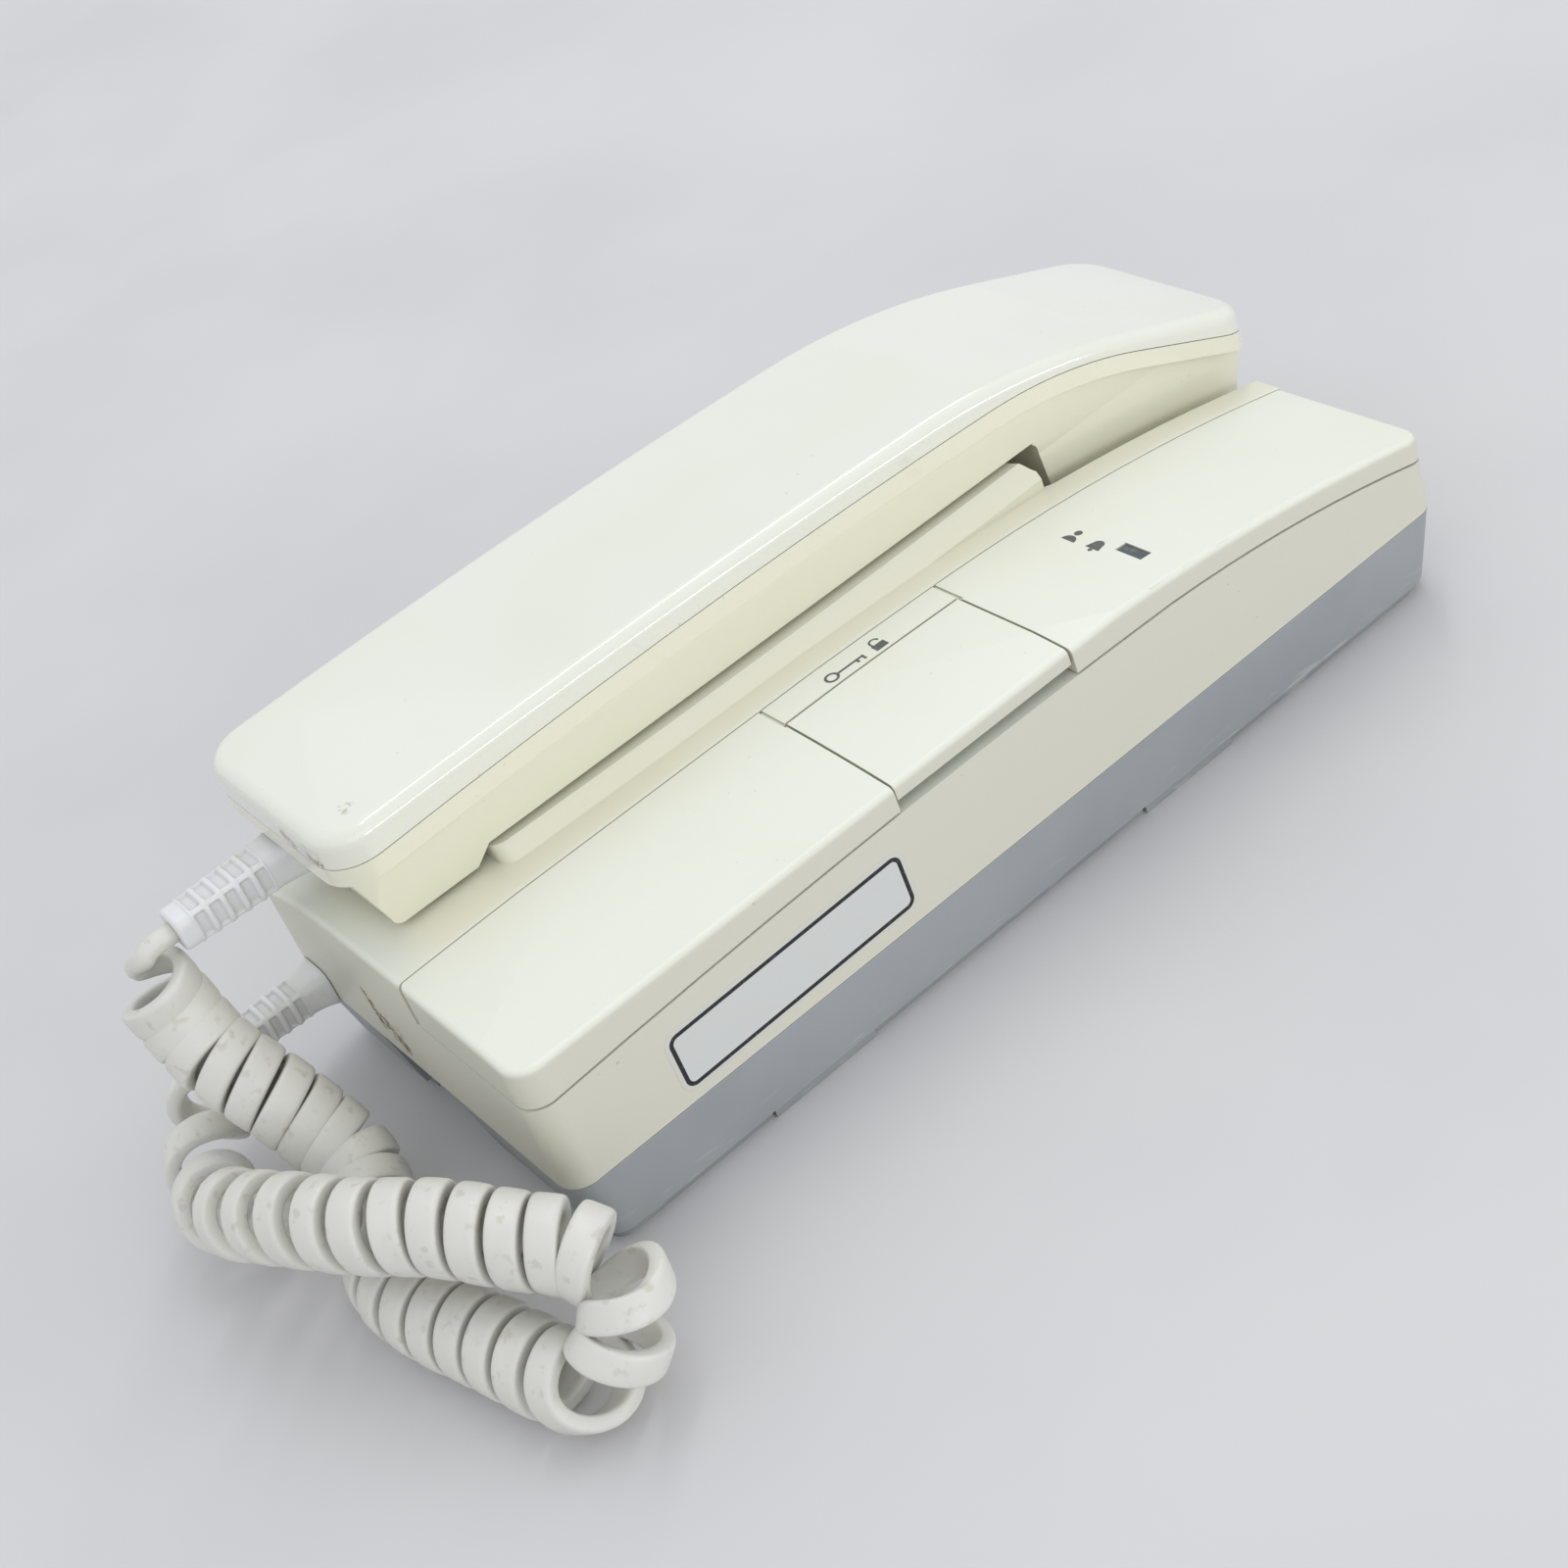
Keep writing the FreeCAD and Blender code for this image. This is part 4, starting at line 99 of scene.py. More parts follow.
# %% The cord's route
CORD_ROUTE = (
    (-0.0290, -0.1280, 0.0550), (-0.0290, -0.1305, 0.0550), (-0.0290, -0.1340, 0.0548),
    (-0.0298, -0.1363, 0.0505), (-0.0294, -0.1352, 0.0440), (-0.0262, -0.1346, 0.0375),
    (-0.0205, -0.1340, 0.0325), (-0.0135, -0.1305, 0.0255), (-0.0070, -0.1275, 0.0170),
    (0.0005, -0.1260, 0.0110), (0.0130, -0.1310, 0.0087), (0.0265, -0.1365, 0.0087),
    (0.0385, -0.1355, 0.0087), (0.0530, -0.1315, 0.0087), (0.0645, -0.1290, 0.0087),
    (0.0735, -0.1265, 0.0087), (0.0765, -0.1190, 0.0135), (0.0730, -0.1125, 0.0210),
    (0.0640, -0.1145, 0.0245), (0.0565, -0.1205, 0.0263), (0.0495, -0.1250, 0.0278),
    (0.0425, -0.1295, 0.0286), (0.0345, -0.1360, 0.0288), (0.0205, -0.1425, 0.0268),
    (0.0085, -0.1460, 0.0225), (-0.0025, -0.1485, 0.0175), (-0.0140, -0.1490, 0.0130),
    (-0.0245, -0.1455, 0.0112), (-0.0320, -0.1415, 0.0128), (-0.0375, -0.1385, 0.0175),
    (-0.0385, -0.1338, 0.0202), (-0.0385, -0.1305, 0.0202), (-0.0385, -0.12725, 0.0202),
)
SPLINE_ORDER = 3
SPLINE_STEPS = 24
AXIS_STEP = 0.15 * MM


def spline_points(route, name):
    """Points along a NURBS spline, read from the curve object itself."""
    curve = bpy.data.curves.new(name, "CURVE")
    curve.dimensions = "3D"
    curve.resolution_u = SPLINE_STEPS
    spline = curve.splines.new("NURBS")
    spline.points.add(len(route) - 1)
    for point, place in zip(spline.points, route):
        point.co = (*place, 1)
    spline.order_u = SPLINE_ORDER
    spline.use_endpoint_u = True
    line = bpy.data.objects.new(name, curve)
    bpy.context.collection.objects.link(line)
    bpy.context.view_layer.update()
    depsgraph = bpy.context.evaluated_depsgraph_get()
    mesh = bpy.data.meshes.new_from_object(line.evaluated_get(depsgraph))
    points = [vertex.co.copy() for vertex in mesh.vertices]
    bpy.data.objects.remove(line)
    return points


def evenly(points, step):
    """The same line with its points one step apart, and that step."""
    lengths = [0.0]
    for before, after in zip(points, points[1:]):
        lengths.append(lengths[-1] + (after - before).length)
    count = round(lengths[-1] / step)
    step = lengths[-1] / count
    spread, place = [], 0
    for number in range(count + 1):
        at = number * step
        while place < len(lengths) - 2 and lengths[place + 1] < at:
            place += 1
        share = (at - lengths[place]) / max(lengths[place + 1] - lengths[place], 1e-12)
        spread.append(points[place].lerp(points[place + 1], min(share, 1)))
    return spread, step


axis_line, axis_step = evenly(spline_points(CORD_ROUTE, "cord_axis"), AXIS_STEP)
print("cord's axis", len(axis_line), "points", round(axis_step * (len(axis_line) - 1), 4), "m")

# %% [markdown]
# The band winds round that axis. Its pitch isn't even: near the handset the turns lie
# close, and on the way back to the station they have been pulled open by use.
# A frame is carried along the axis without twisting, and the band's angle grows with the
# length walked, so a bend needs no special case, apart from a limit that fans the turns
# out where the axis bends. At the handset the band first leads out to its full reach and
# only then winds. If it wound while it leads out, its first turn would be a small loop.

# %% The band's own line
CURL_REACH = 6.5 * MM                # from the axis to the band's middle
STRAIGHT_ENDS = (6 * MM, 4 * MM)     # at the handset and at the station
CURL_RAMPS = (8 * MM, 14 * MM)       # the lengths over which the curls open, at the same ends
WINDS_FROM = 0.7                     # the share of the handset's ramp after which the band winds
INNER_PITCH = 3.4 * MM               # the least pitch on the inside of a bend
MOST_BEND = 0.8                      # as a share of the bend that closes the inside
OPEN_REACH = 6.6 * MM                # a half opened curl gets a longer pitch, up to this reach
BEND_SPAN = 5                        # steps on each side over which a bend is measured
CURL_PITCHES = (                     # length from the handset and pitch there, in metres
    (0.000, 0.0058), (0.090, 0.0060), (0.130, 0.0072), (0.175, 0.0064),
    (0.205, 0.0070), (0.230, 0.0110), (0.255, 0.0145), (0.400, 0.0150),
)


def ease_in(value, low, high):
    """0 at low and 1 at high, smoothly between, and the other way round if low is the higher."""
    share = min(max((value - low) / (high - low), 0), 1)
    return share ** 2 * (3 - 2 * share)


def pitch_at(at):
    """The pitch at a length from the handset, read between the two nearest rows."""
    for (low, pitch), (high, following) in zip(CURL_PITCHES, CURL_PITCHES[1:]):
        if at <= high:
            return pitch + (following - pitch) * (at - low) / (high - low)
    return CURL_PITCHES[-1][1]


def wound(line, step):
    """For each step along the axis: the band's centre, its outward direction and how open it is."""
    total = step * (len(line) - 1)
    outward = Vector((-1, 0, 0))
    phase = 0.0
    track = []
    for number, centre in enumerate(line):
        at = number * step
        before = line[max(number - BEND_SPAN, 0)]
        after = line[min(number + BEND_SPAN, len(line) - 1)]
        along = (after - before).normalized()
        outward = (outward - along * outward.dot(along)).normalized()
        side = along.cross(outward)
        bend = 0
        if BEND_SPAN <= number < len(line) - BEND_SPAN:
            turned = (centre - before).normalized().angle((after - centre).normalized(), 0)
            bend = turned / max((after - before).length / 2, 1e-9)
        from_handset = (at - STRAIGHT_ENDS[0]) / CURL_RAMPS[0]
        from_station = (total - at - STRAIGHT_ENDS[1]) / CURL_RAMPS[1]
        opening = ease_in(min(from_handset, from_station), 0, 1)
        reach = CURL_REACH * opening
        room = 1 - min(bend * reach, MOST_BEND)
        open_pitch = 2 * math.pi * math.sqrt(max(reach * (OPEN_REACH - reach), 0))
        if at > STRAIGHT_ENDS[0] + CURL_RAMPS[0] * WINDS_FROM:
            phase += 2 * math.pi * step / max(pitch_at(at), INNER_PITCH / room, open_pitch)
        spoke = outward * math.cos(phase) + side * math.sin(phase)
        track.append((centre + spoke * reach, spoke, opening))
    return track, phase / (2 * math.pi)


band_track, band_turns = wound(axis_line, axis_step)
band_line = [point for point, spoke, opening in band_track]
band_length = sum((after - before).length for before, after in zip(band_line, band_line[1:]))
print("cord", round(band_turns, 1), "turns", round(band_length, 3), "m")

# %% [markdown]
# The band itself is a flat section with firm shoulders, 5.6 mm wide and 3.0 mm thick,
# and round where it enters the two boots. A curve's bevel would twist a flat section, so
# the mesh is made ring by ring, each ring standing square to the band's own line with its
# flat side turned away from the axis.

# %% The curly cord's mesh
BAND_WIDTH = 5.6 * MM
BAND_THICK = 3.0 * MM
CORD_ROUND = 4.0 * MM
RING_POINTS = 24
SHOULDER = 0.44           # below 1 the section's shoulders fill out


def band_ring(centre, forward, spoke, opening):
    """One section of the band: an oval with full shoulders."""
    outward = (spoke - forward * spoke.dot(forward)).normalized()
    across = forward.cross(outward)
    wide = (CORD_ROUND + (BAND_WIDTH - CORD_ROUND) * opening) / 2
    thick = (CORD_ROUND + (BAND_THICK - CORD_ROUND) * opening) / 2
    power = 1 + (SHOULDER - 1) * opening
    ring = []
    for number in range(RING_POINTS):
        angle = 2 * math.pi * number / RING_POINTS
        c, s = math.cos(angle), math.sin(angle)
        ring.append(centre + across * (wide * math.copysign(abs(c) ** power, c))
                    + outward * (thick * math.copysign(abs(s) ** power, s)))
    return ring


def skin(rings, name):
    """A closed mesh over rings of the same number of points, capped at both ends."""
    mesh = bmesh.new()
    loops = [[mesh.verts.new(point) for point in ring] for ring in rings]
    for low, high in zip(loops, loops[1:]):
        for number in range(len(low)):
            following = (number + 1) % len(low)
            mesh.faces.new((low[number], low[following], high[following], high[number]))
    mesh.faces.new(reversed(loops[0]))
    mesh.faces.new(loops[-1])
    bmesh.ops.recalc_face_normals(mesh, faces=mesh.faces)
    for face in mesh.faces:
        face.smooth = True
    return piece_of(mesh, name)


def piece_of(mesh, name):
    """An object in the scene that holds this mesh."""
    data = bpy.data.meshes.new(name)
    mesh.to_mesh(data)
    mesh.free()
    piece = bpy.data.objects.new(name, data)
    bpy.context.collection.objects.link(piece)
    return piece


band_rings = []
for number, (point, spoke, opening) in enumerate(band_track):
    before = band_line[max(number - 1, 0)]
    after = band_line[min(number + 1, len(band_line) - 1)]
    band_rings.append(band_ring(point, (after - before).normalized(), spoke, opening))
curly_cord = skin(band_rings, "curly_cord_band")
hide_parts("curly_cord")
print("curly cord", len(curly_cord.data.vertices), "points")

# %% [markdown] The cord is held at both ends, in the station's boot and in the handset's.
# When the handset is lifted its end goes up too. Each ring of the band gets one share, from
# its place along the cord: 1 near the handset, easing to 0 where the cord is loose. The
# shares are only worked out here and are not applied to the mesh, whose place is baked.

# %% Shares along the cord
HELD_TO = 6 * MM          # along the cord's axis, from the handset
LOOSE_FROM = 54 * MM
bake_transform(curly_cord)
shares = []
for number in range(len(band_track)):
    shares += [ease_in(number * axis_step, LOOSE_FROM, HELD_TO)] * RING_POINTS
print("the cord follows the handset over its first", LOOSE_FROM, "m")

# %% [markdown]
# Two coil springs stand inside the station, one under the release key and one under the
# hook plunger. Each one here is a copy of the CAD coil, whose CAD node is hidden, with its
# place baked into the copy's points.

# %% Springs
def sprung(node):
    """A copy of a CAD coil that reaches from the station to the body that it pushes."""
    coil = bpy.data.objects.new(node + "_coil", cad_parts[node].data.copy())
    bpy.context.collection.objects.link(coil)
    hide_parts(node)
    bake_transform(coil)
    return coil


key_coil = sprung("key_spring")
hook_coil = sprung("hook_spring")

# %% [markdown]
# Each end of the cord leaves its housing through a moulded boot: a flared foot, a straight
# part with shallow windows between soft ribs, and a collar. Sharp cuts would look machined,
# so the boot is one skin over many rings, and the windows are places where the rings are
# drawn in, with eased borders, as a moulding has them.

# %% Cord boots
BOOT_POINTS = 72
BOOT_STEP = 0.2           # this and the lengths below are in millimetres
BOOT_NECK = 3.6
BOOT_SQUARE = 0.55        # below 1 the section turns from an oval towards a square
BOOT_FLARE = 0.27         # the share of a boot's length that is flared
BOOT_TAPER = 0.12
COLLAR = 3.2
TIP_ROUND = 0.35
TIP_LENGTH = 0.5
FACE_FROM = (0.8, 0.9)    # a window lies on a flat from here outwards, as shares of the half size
FACE_TO = (0.72, 0.6)     # and it ends here, short of the flat's two corners
WINDOW_DEPTH = 0.7
WINDOW_EASE = 0.32
RIB_HALF = 0.45
RIB_PROUD = 0.22


def boot_ring(middle, y, lean, size, window):
    """One section of a boot, in millimetres: drawn in by the window on its four flats."""
    ring = []
    for number in range(BOOT_POINTS):
        angle = 2 * math.pi * number / BOOT_POINTS
        across = math.copysign(abs(math.cos(angle)) ** BOOT_SQUARE, math.cos(angle))
        up = math.copysign(abs(math.sin(angle)) ** BOOT_SQUARE, math.sin(angle))
        x, z = across * size[0], up * size[1]
        x -= math.copysign(window * ease_in(abs(across), *FACE_FROM) * ease_in(abs(up), *FACE_TO), x)
        z -= math.copysign(window * ease_in(abs(up), *FACE_FROM) * ease_in(abs(across), *FACE_TO), z)
        ring.append(Vector((middle[0] + x, y + lean * z, middle[1] + z)) * MM)
    return ring


def neck_ring(middle, y):
    """One round section of a boot's neck."""
    angles = [2 * math.pi * number / BOOT_POINTS for number in range(BOOT_POINTS)]
    return [Vector((middle[0] + BOOT_NECK * math.cos(angle), y,
                    middle[1] + BOOT_NECK * math.sin(angle))) * MM for angle in angles]


def boot(name, middle, neck_y, base_y, tip_y, size, flare, ribs, lean=0.0):
    """A boot along -Y: a neck inside the wall, a flared foot, windows between ribs, a collar."""
    length = base_y - tip_y
    flare_length = length * BOOT_FLARE
    pitch = (length - flare_length - COLLAR) / ribs
    rings = [neck_ring(middle, neck_y), neck_ring(middle, base_y)]
    steps = round(length / BOOT_STEP)
    for number in range(steps + 1):
        out = length * number / steps
        open_up = (1 - min(out / flare_length, 1)) ** 2
        taper = 1 - BOOT_TAPER * out / length
        proud, window = 0.0, 0.0
        past = out - flare_length
        if 0 < past < pitch * ribs:
            place = abs((past / pitch) % 1 - 0.5) * pitch
            rib_edge = pitch * 0.5 - RIB_HALF
            window = ease_in(place, rib_edge, rib_edge - WINDOW_EASE) * WINDOW_DEPTH
            proud = RIB_PROUD * ease_in(place, pitch * 0.5 - 2 * RIB_HALF, pitch * 0.5)
            proud *= ease_in(past, 0, TIP_LENGTH)
        grow = proud + ease_in(out, length, length - TIP_LENGTH) * TIP_ROUND - TIP_ROUND
        half_sizes = [half * taper + extra * open_up + grow for half, extra in zip(size, flare)]
        rings.append(boot_ring(middle, base_y - out, lean * open_up, half_sizes, window))
    return skin(rings, name)


handset_boot = boot("handset_cord_boot", middle=(-29.0, 55.0), neck_y=-97.0, base_y=-101.75, tip_y=-128.0,
                    size=(4.5, 4.1), flare=(1.3, 0.7), ribs=5, lean=-0.325)
station_boot = boot("station_cord_boot", middle=(-38.5, 20.2), neck_y=-103.0, base_y=-107.65, tip_y=-127.25,
                    size=(4.0, 3.6), flare=(0.9, 0.9), ribs=4)
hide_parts("handset_strain_relief")
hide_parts("base_strain_relief")
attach(handset_boot, "handset")
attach(station_boot, "station")
print("boots", len(handset_boot.data.vertices), len(station_boot.data.vertices), "points")

# %% [markdown]
# The studio is plain: a pale floor that reaches past the view, an even pale sky for fill,
# a wide soft window up and behind to the left, and a soft fill from the right. Two narrow
# strips stand where the handset's rounded long edge mirrors them towards the camera. They
# draw the two bright lines that run along that edge in the photograph.

# %% Floor and lights
FLOOR_SIZE = 8.0
bpy.ops.mesh.primitive_plane_add(size=FLOOR_SIZE, location=(0, 0, 0))
floor = bpy.context.object
floor.name = "floor"


def soft_light(name, at, size, power, colour=(1.0, 1.0, 1.0)):
    """A rectangle of light that shines at the middle of the scene."""
    data = bpy.data.lights.new(name, "AREA")
    data.shape = "RECTANGLE"
    data.size, data.size_y = size
    data.energy = power
    data.color = colour
    light = bpy.data.objects.new(name, data)
    light.location = at
    light.rotation_euler = Vector(at).to_track_quat("Z", "Y").to_euler()
    bpy.context.collection.objects.link(light)


soft_light("window", (-0.7, 0.6, 1.5), (1.8, 1.4), 1.4, (1.0, 0.995, 0.98))
soft_light("side_fill", (1.25, -0.45, 0.75), (1.4, 0.9), 2.2, (0.99, 0.99, 1.0))
soft_light("strip_above", (-0.45, 0.52, 1.335), (0.12, 1.5), 3.4)
soft_light("strip_beside", (1.36, 0.52, 0.36), (1.5, 0.12), 3.8)

world = bpy.data.worlds.new("pale_sky")
bpy.context.scene.world = world
world.use_nodes = True
sky = world.node_tree.nodes["Background"]
sky.inputs["Color"].default_value = (0.95, 0.97, 1.0, 1)
sky.inputs["Strength"].default_value = 0.86
bpy.context.scene.view_settings.view_transform = "Standard"

# %% [markdown]
# Finishes are made of nodes, and long node set-ups are hard to read as lists of links.
# A small class wraps one output of a node, so that adding, subtracting and multiplying
# write the Math nodes: 1 - mask is one Subtract node. The class Finish makes every other
# node, through one method that first sets a node's options and then its inputs.

# %% Shader arithmetic
class Signal:
    """One output on its way through a material."""

    def __init__(self, finish, socket):
        self.finish = finish
        self.socket = socket

    def maths(self, operation, left, right):
        return self.finish.maths(operation, left, right)

    def __add__(self, other):
        return self.maths("ADD", self, other)

    def __radd__(self, other):
        return self.maths("ADD", other, self)

    def __sub__(self, other):
        return self.maths("SUBTRACT", self, other)

    def __rsub__(self, other):
        return self.maths("SUBTRACT", other, self)

    def __mul__(self, other):
        return self.maths("MULTIPLY", self, other)

    def __rmul__(self, other):
        return self.maths("MULTIPLY", other, self)

    def __pow__(self, other):
        return self.maths("POWER", self, other)

    def at_most(self, other):
        return self.maths("MINIMUM", self, other)

    def at_least(self, other):
        return self.maths("MAXIMUM", self, other)


def paint(red, green, blue):
    """A colour as it looks on screen, 0 to 255, turned into the linear values that nodes want."""
    return (*[((value / 255 + 0.055) / 1.055) ** 2.4 if value > 10 else value / 255 / 12.92
              for value in (red, green, blue)], 1)


print("a middle grey of 128 is", round(paint(128, 128, 128)[0], 3), "in linear light")

# %% [markdown]
# All patterns are measured in millimetres on the object itself, which makes their scale
# easy to compare with the photograph. Patches are noise cut into soft islands. Corners where
# surfaces meet, which Ambient Occlusion finds, are darkened as painted shade, and wear sits
# on convex edges, which the Bevel node finds by comparing its rounded normal with the true one.

# %% The finish maker
class Finish:
    """A material under construction."""

    def __init__(self, name):
        self.material = bpy.data.materials.new(name)
        self.material.use_nodes = True
        self.tree = self.material.node_tree
        self.tree.nodes.clear()

    def node(self, kind, settings=None, inputs=None, out=0):
        made = self.tree.nodes.new(kind)
        for setting, value in (settings or {}).items():
            if setting == "stops":
                ramp = made.color_ramp
                while len(ramp.elements) < len(value):
                    ramp.elements.new(1.0)
                for stop, (at, colour) in zip(ramp.elements, value):
                    stop.position, stop.color = at, colour
            else:
                setattr(made, setting, value)
        for socket, value in (inputs or {}).items():
            self.join(self.find(made.inputs, socket), value)
        return Signal(self, self.find(made.outputs, out)) if made.outputs else made

    def maths(self, operation, *values):
        """One Math node on numbers or signals."""
        return self.node("ShaderNodeMath", {"operation": operation}, dict(enumerate(values)))

    def vectors(self, operation, left, right, out="Value"):
        """The same for two vectors. Most of these operations give a number."""
        return self.node("ShaderNodeVectorMath", {"operation": operation}, {0: left, 1: right}, out=out)

    @staticmethod
    def find(sockets, name):
        if isinstance(name, int):
            return sockets[name]
        for socket in sockets:
            if socket.identifier == name:
                return socket
        return sockets[name]

    def join(self, socket, value):
        if isinstance(value, Signal):
            self.tree.links.new(value.socket, socket)
        else:
            socket.default_value = value

    def place(self):
        """Where a point is on the object, in millimetres."""
        at = self.node("ShaderNodeTexCoord", out="Object")
        return self.node("ShaderNodeVectorMath", {"operation": "SCALE"}, {0: at, "Scale": 1000.0})

    def along(self, axis):
        return self.node("ShaderNodeSeparateXYZ", inputs={0: self.place()}, out=axis)

    def facing(self, axis):
        """How far the surface faces along an axis of the object, from -1 to 1."""
        normal = self.node("ShaderNodeTexCoord", out="Normal")
        return self.node("ShaderNodeSeparateXYZ", inputs={0: normal}, out=axis)

    def noise(self, size, detail=2.0, stretch=(1, 1, 1), seed=0.0):
        """Noise whose features are about this many millimetres across."""
        placed = self.node("ShaderNodeMapping", inputs={
            "Vector": self.place(), "Scale": stretch, "Location": (seed, seed * 1.7, -seed)})
        return self.node("ShaderNodeTexNoise", inputs={
            "Vector": placed, "Scale": 1 / size, "Detail": detail})

    def ease(self, value, low, high):
        """0 below low and 1 above high, smoothly between, and the other way round if low is the higher."""
        return self.node("ShaderNodeMapRange", {"interpolation_type": "SMOOTHSTEP"}, {
            "Value": value, "From Min": low, "From Max": high, "To Min": 0.0, "To Max": 1.0})

    def patches(self, size, low=0.5, high=0.65, detail=3.0, stretch=(1, 1, 1), seed=0.0):
        return self.ease(self.noise(size, detail, stretch, seed), low, high)

    def near(self, point, radius):
        """1 at a point given in millimetres, falling to 0 at the radius."""
        away = self.vectors("DISTANCE", self.place(), point)
        return self.ease(away, radius, radius * 0.15)

    def stroke(self, start, end, width):
        """1 on a scratch from one point to another, both in millimetres, falling to 0 at its width."""
        start, end = Vector(start), Vector(end)
        run = end - start
        here = self.vectors("SUBTRACT", self.place(), start, out="Vector")
        share = self.vectors("DOT_PRODUCT", here, run / run.length_squared)
        share = share.at_least(0.0).at_most(1.0)
        foot = self.node("ShaderNodeVectorMath", {"operation": "SCALE"}, {0: run, "Scale": share})
        return self.ease(self.vectors("DISTANCE", here, foot), width, width * 0.4)

    def corners_in(self, reach, low=0.55, high=0.95):
        """1 in the corners where surfaces meet."""
        open_sky = self.node("ShaderNodeAmbientOcclusion", {"samples": 6, "only_local": False},
                             {"Distance": reach * MM}, out="AO")
        return 1 - self.ease(open_sky, low, high)

    def edges(self, radius, low=0.02, high=0.2):
        """1 on the crests of sharp edges."""
        rounded = self.node("ShaderNodeBevel", {"samples": 4}, {"Radius": radius * MM})
        true = self.node("ShaderNodeNewGeometry", out="Normal")
        return self.ease(1 - self.vectors("DOT_PRODUCT", rounded, true), low, high)

    def mix(self, under, over, amount):
        return self.node("ShaderNodeMix", {"data_type": "RGBA"}, {
            "A_Color": under, "B_Color": over, "Factor_Float": amount}, out="Result_Color")

    def bump(self, height, depth, normal=None):
        """A Bump node: height from 0 to 1 stands for this many millimetres."""
        inputs = {"Height": height, "Distance": depth * MM, "Strength": 1.0}
        if normal is not None:
            inputs["Normal"] = normal
        return self.node("ShaderNodeBump", inputs=inputs)

    def done(self, colour, roughness, **sockets):
        """Ends the finish in a Principled surface and returns the material."""
        inputs = {"Base Color": colour, "Roughness": roughness}
        inputs.update({name.replace("_", " "): value for name, value in sockets.items()})
        surface = self.node("ShaderNodeBsdfPrincipled", inputs=inputs)
        self.node("ShaderNodeOutputMaterial", inputs={"Surface": surface})
        return self.material


def dress(material, *pieces):
    """Gives a material to CAD nodes, named, or to pieces made here."""
    things = [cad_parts[piece] if isinstance(piece, str) else piece for piece in pieces]
    for thing in things:
        thing.data.materials.clear()
        thing.data.materials.append(material)
    print(material.name, "on", ", ".join(thing.name for thing in things))


print("a finish can use", ", ".join(name for name in vars(Finish) if not name.startswith("_")))

# %% [markdown]
# Ivory ABS is the station's main plastic. New it was a cool pale ivory, and years of light
# and hands have yellowed it a little and unevenly. So one base colour is mixed with a warmer
# one by patches and along the channel beside the handset. Surfaces that face sideways are
# mixed towards a side colour: on the case and cover a darker one, which is painted shade, and
# on the handset a paler tone on the outer shell and a creamier one on the inner shell. The
# corners are darkened with the grime colour, which is painted shade too, then a faint
# spark-eroded grain goes into the bump.

# %% Ivory plastic
IVORY = paint(229, 231, 219)
IVORY_WARM = paint(224, 220, 196)
# the darker side colour is painted shade on surfaces that face sideways
IVORY_SHADED_SIDE = paint(206, 205, 188)
IVORY_CREAM = paint(230, 227, 205)
IVORY_PALE = paint(228, 228, 216)
CHIPPED = paint(128, 112, 76)
# the grime colour, for real dirt and stains and also as painted shade in the corners
GRIME_AND_SHADE = paint(150, 140, 112)


def ivory(name, gloss, grain, channel=0.0, stains=(), strokes=(), shade=IVORY_SHADED_SIDE, coat=0.0):
    """Aged ivory plastic. The stains and strokes are dirt and chips at points in millimetres."""
    finish = Finish(name)
    clouds = finish.patches(34, 0.42, 0.72, seed=3)
    colour = finish.mix(IVORY, IVORY_WARM, clouds * 0.22)
    # painted shade: surfaces that face sideways are mixed towards the side colour
    side_shade_mask = 1 - finish.ease(finish.facing("Z"), 0.25, 0.9)
    colour = finish.mix(colour, shade, side_shade_mask * 0.8)
    if channel:
        lane = finish.ease(finish.along("X"), -38, -30) * finish.ease(finish.along("X"), 10.4, 8.8)
        lane = lane * finish.ease(finish.along("Y"), -104, -96)
        colour = finish.mix(colour, IVORY_WARM, lane * channel)
    # painted shade: corners found by Ambient Occlusion are darkened with the grime colour, and the same
    # mask makes them rougher
    corner_shade_and_dirt = finish.corners_in(1.6, 0.35, 0.85)
    colour = finish.mix(colour, GRIME_AND_SHADE, corner_shade_and_dirt * 0.2)
    specks = finish.patches(1.1, 0.76, 0.80, 1.0, seed=11) * finish.patches(18, 0.5, 0.62, seed=5)
    dirt = specks * 0.35
    for point, radius in stains:
        dirt = dirt.at_least(finish.near(point, radius) * finish.patches(1.6, 0.47, 0.62, seed=8) * 0.75)
    colour = finish.mix(colour, GRIME_AND_SHADE, dirt)
    for start, end, width in strokes:
        chip = finish.stroke(start, end, width) * finish.patches(0.9, 0.40, 0.52, seed=17)
        colour = finish.mix(colour, CHIPPED, chip)
        dirt = dirt.at_least(chip)
    hand_wear = finish.patches(26, 0.45, 0.7, seed=21)
    roughness = gloss + hand_wear * 0.07 + dirt * 0.3 + corner_shade_and_dirt * 0.15
    pits = finish.noise(0.55, 2.0, seed=1)
    return finish.done(colour, roughness, Normal=finish.bump(pits, grain), IOR=1.55,
                       Coat_Weight=coat, Coat_Roughness=0.05)


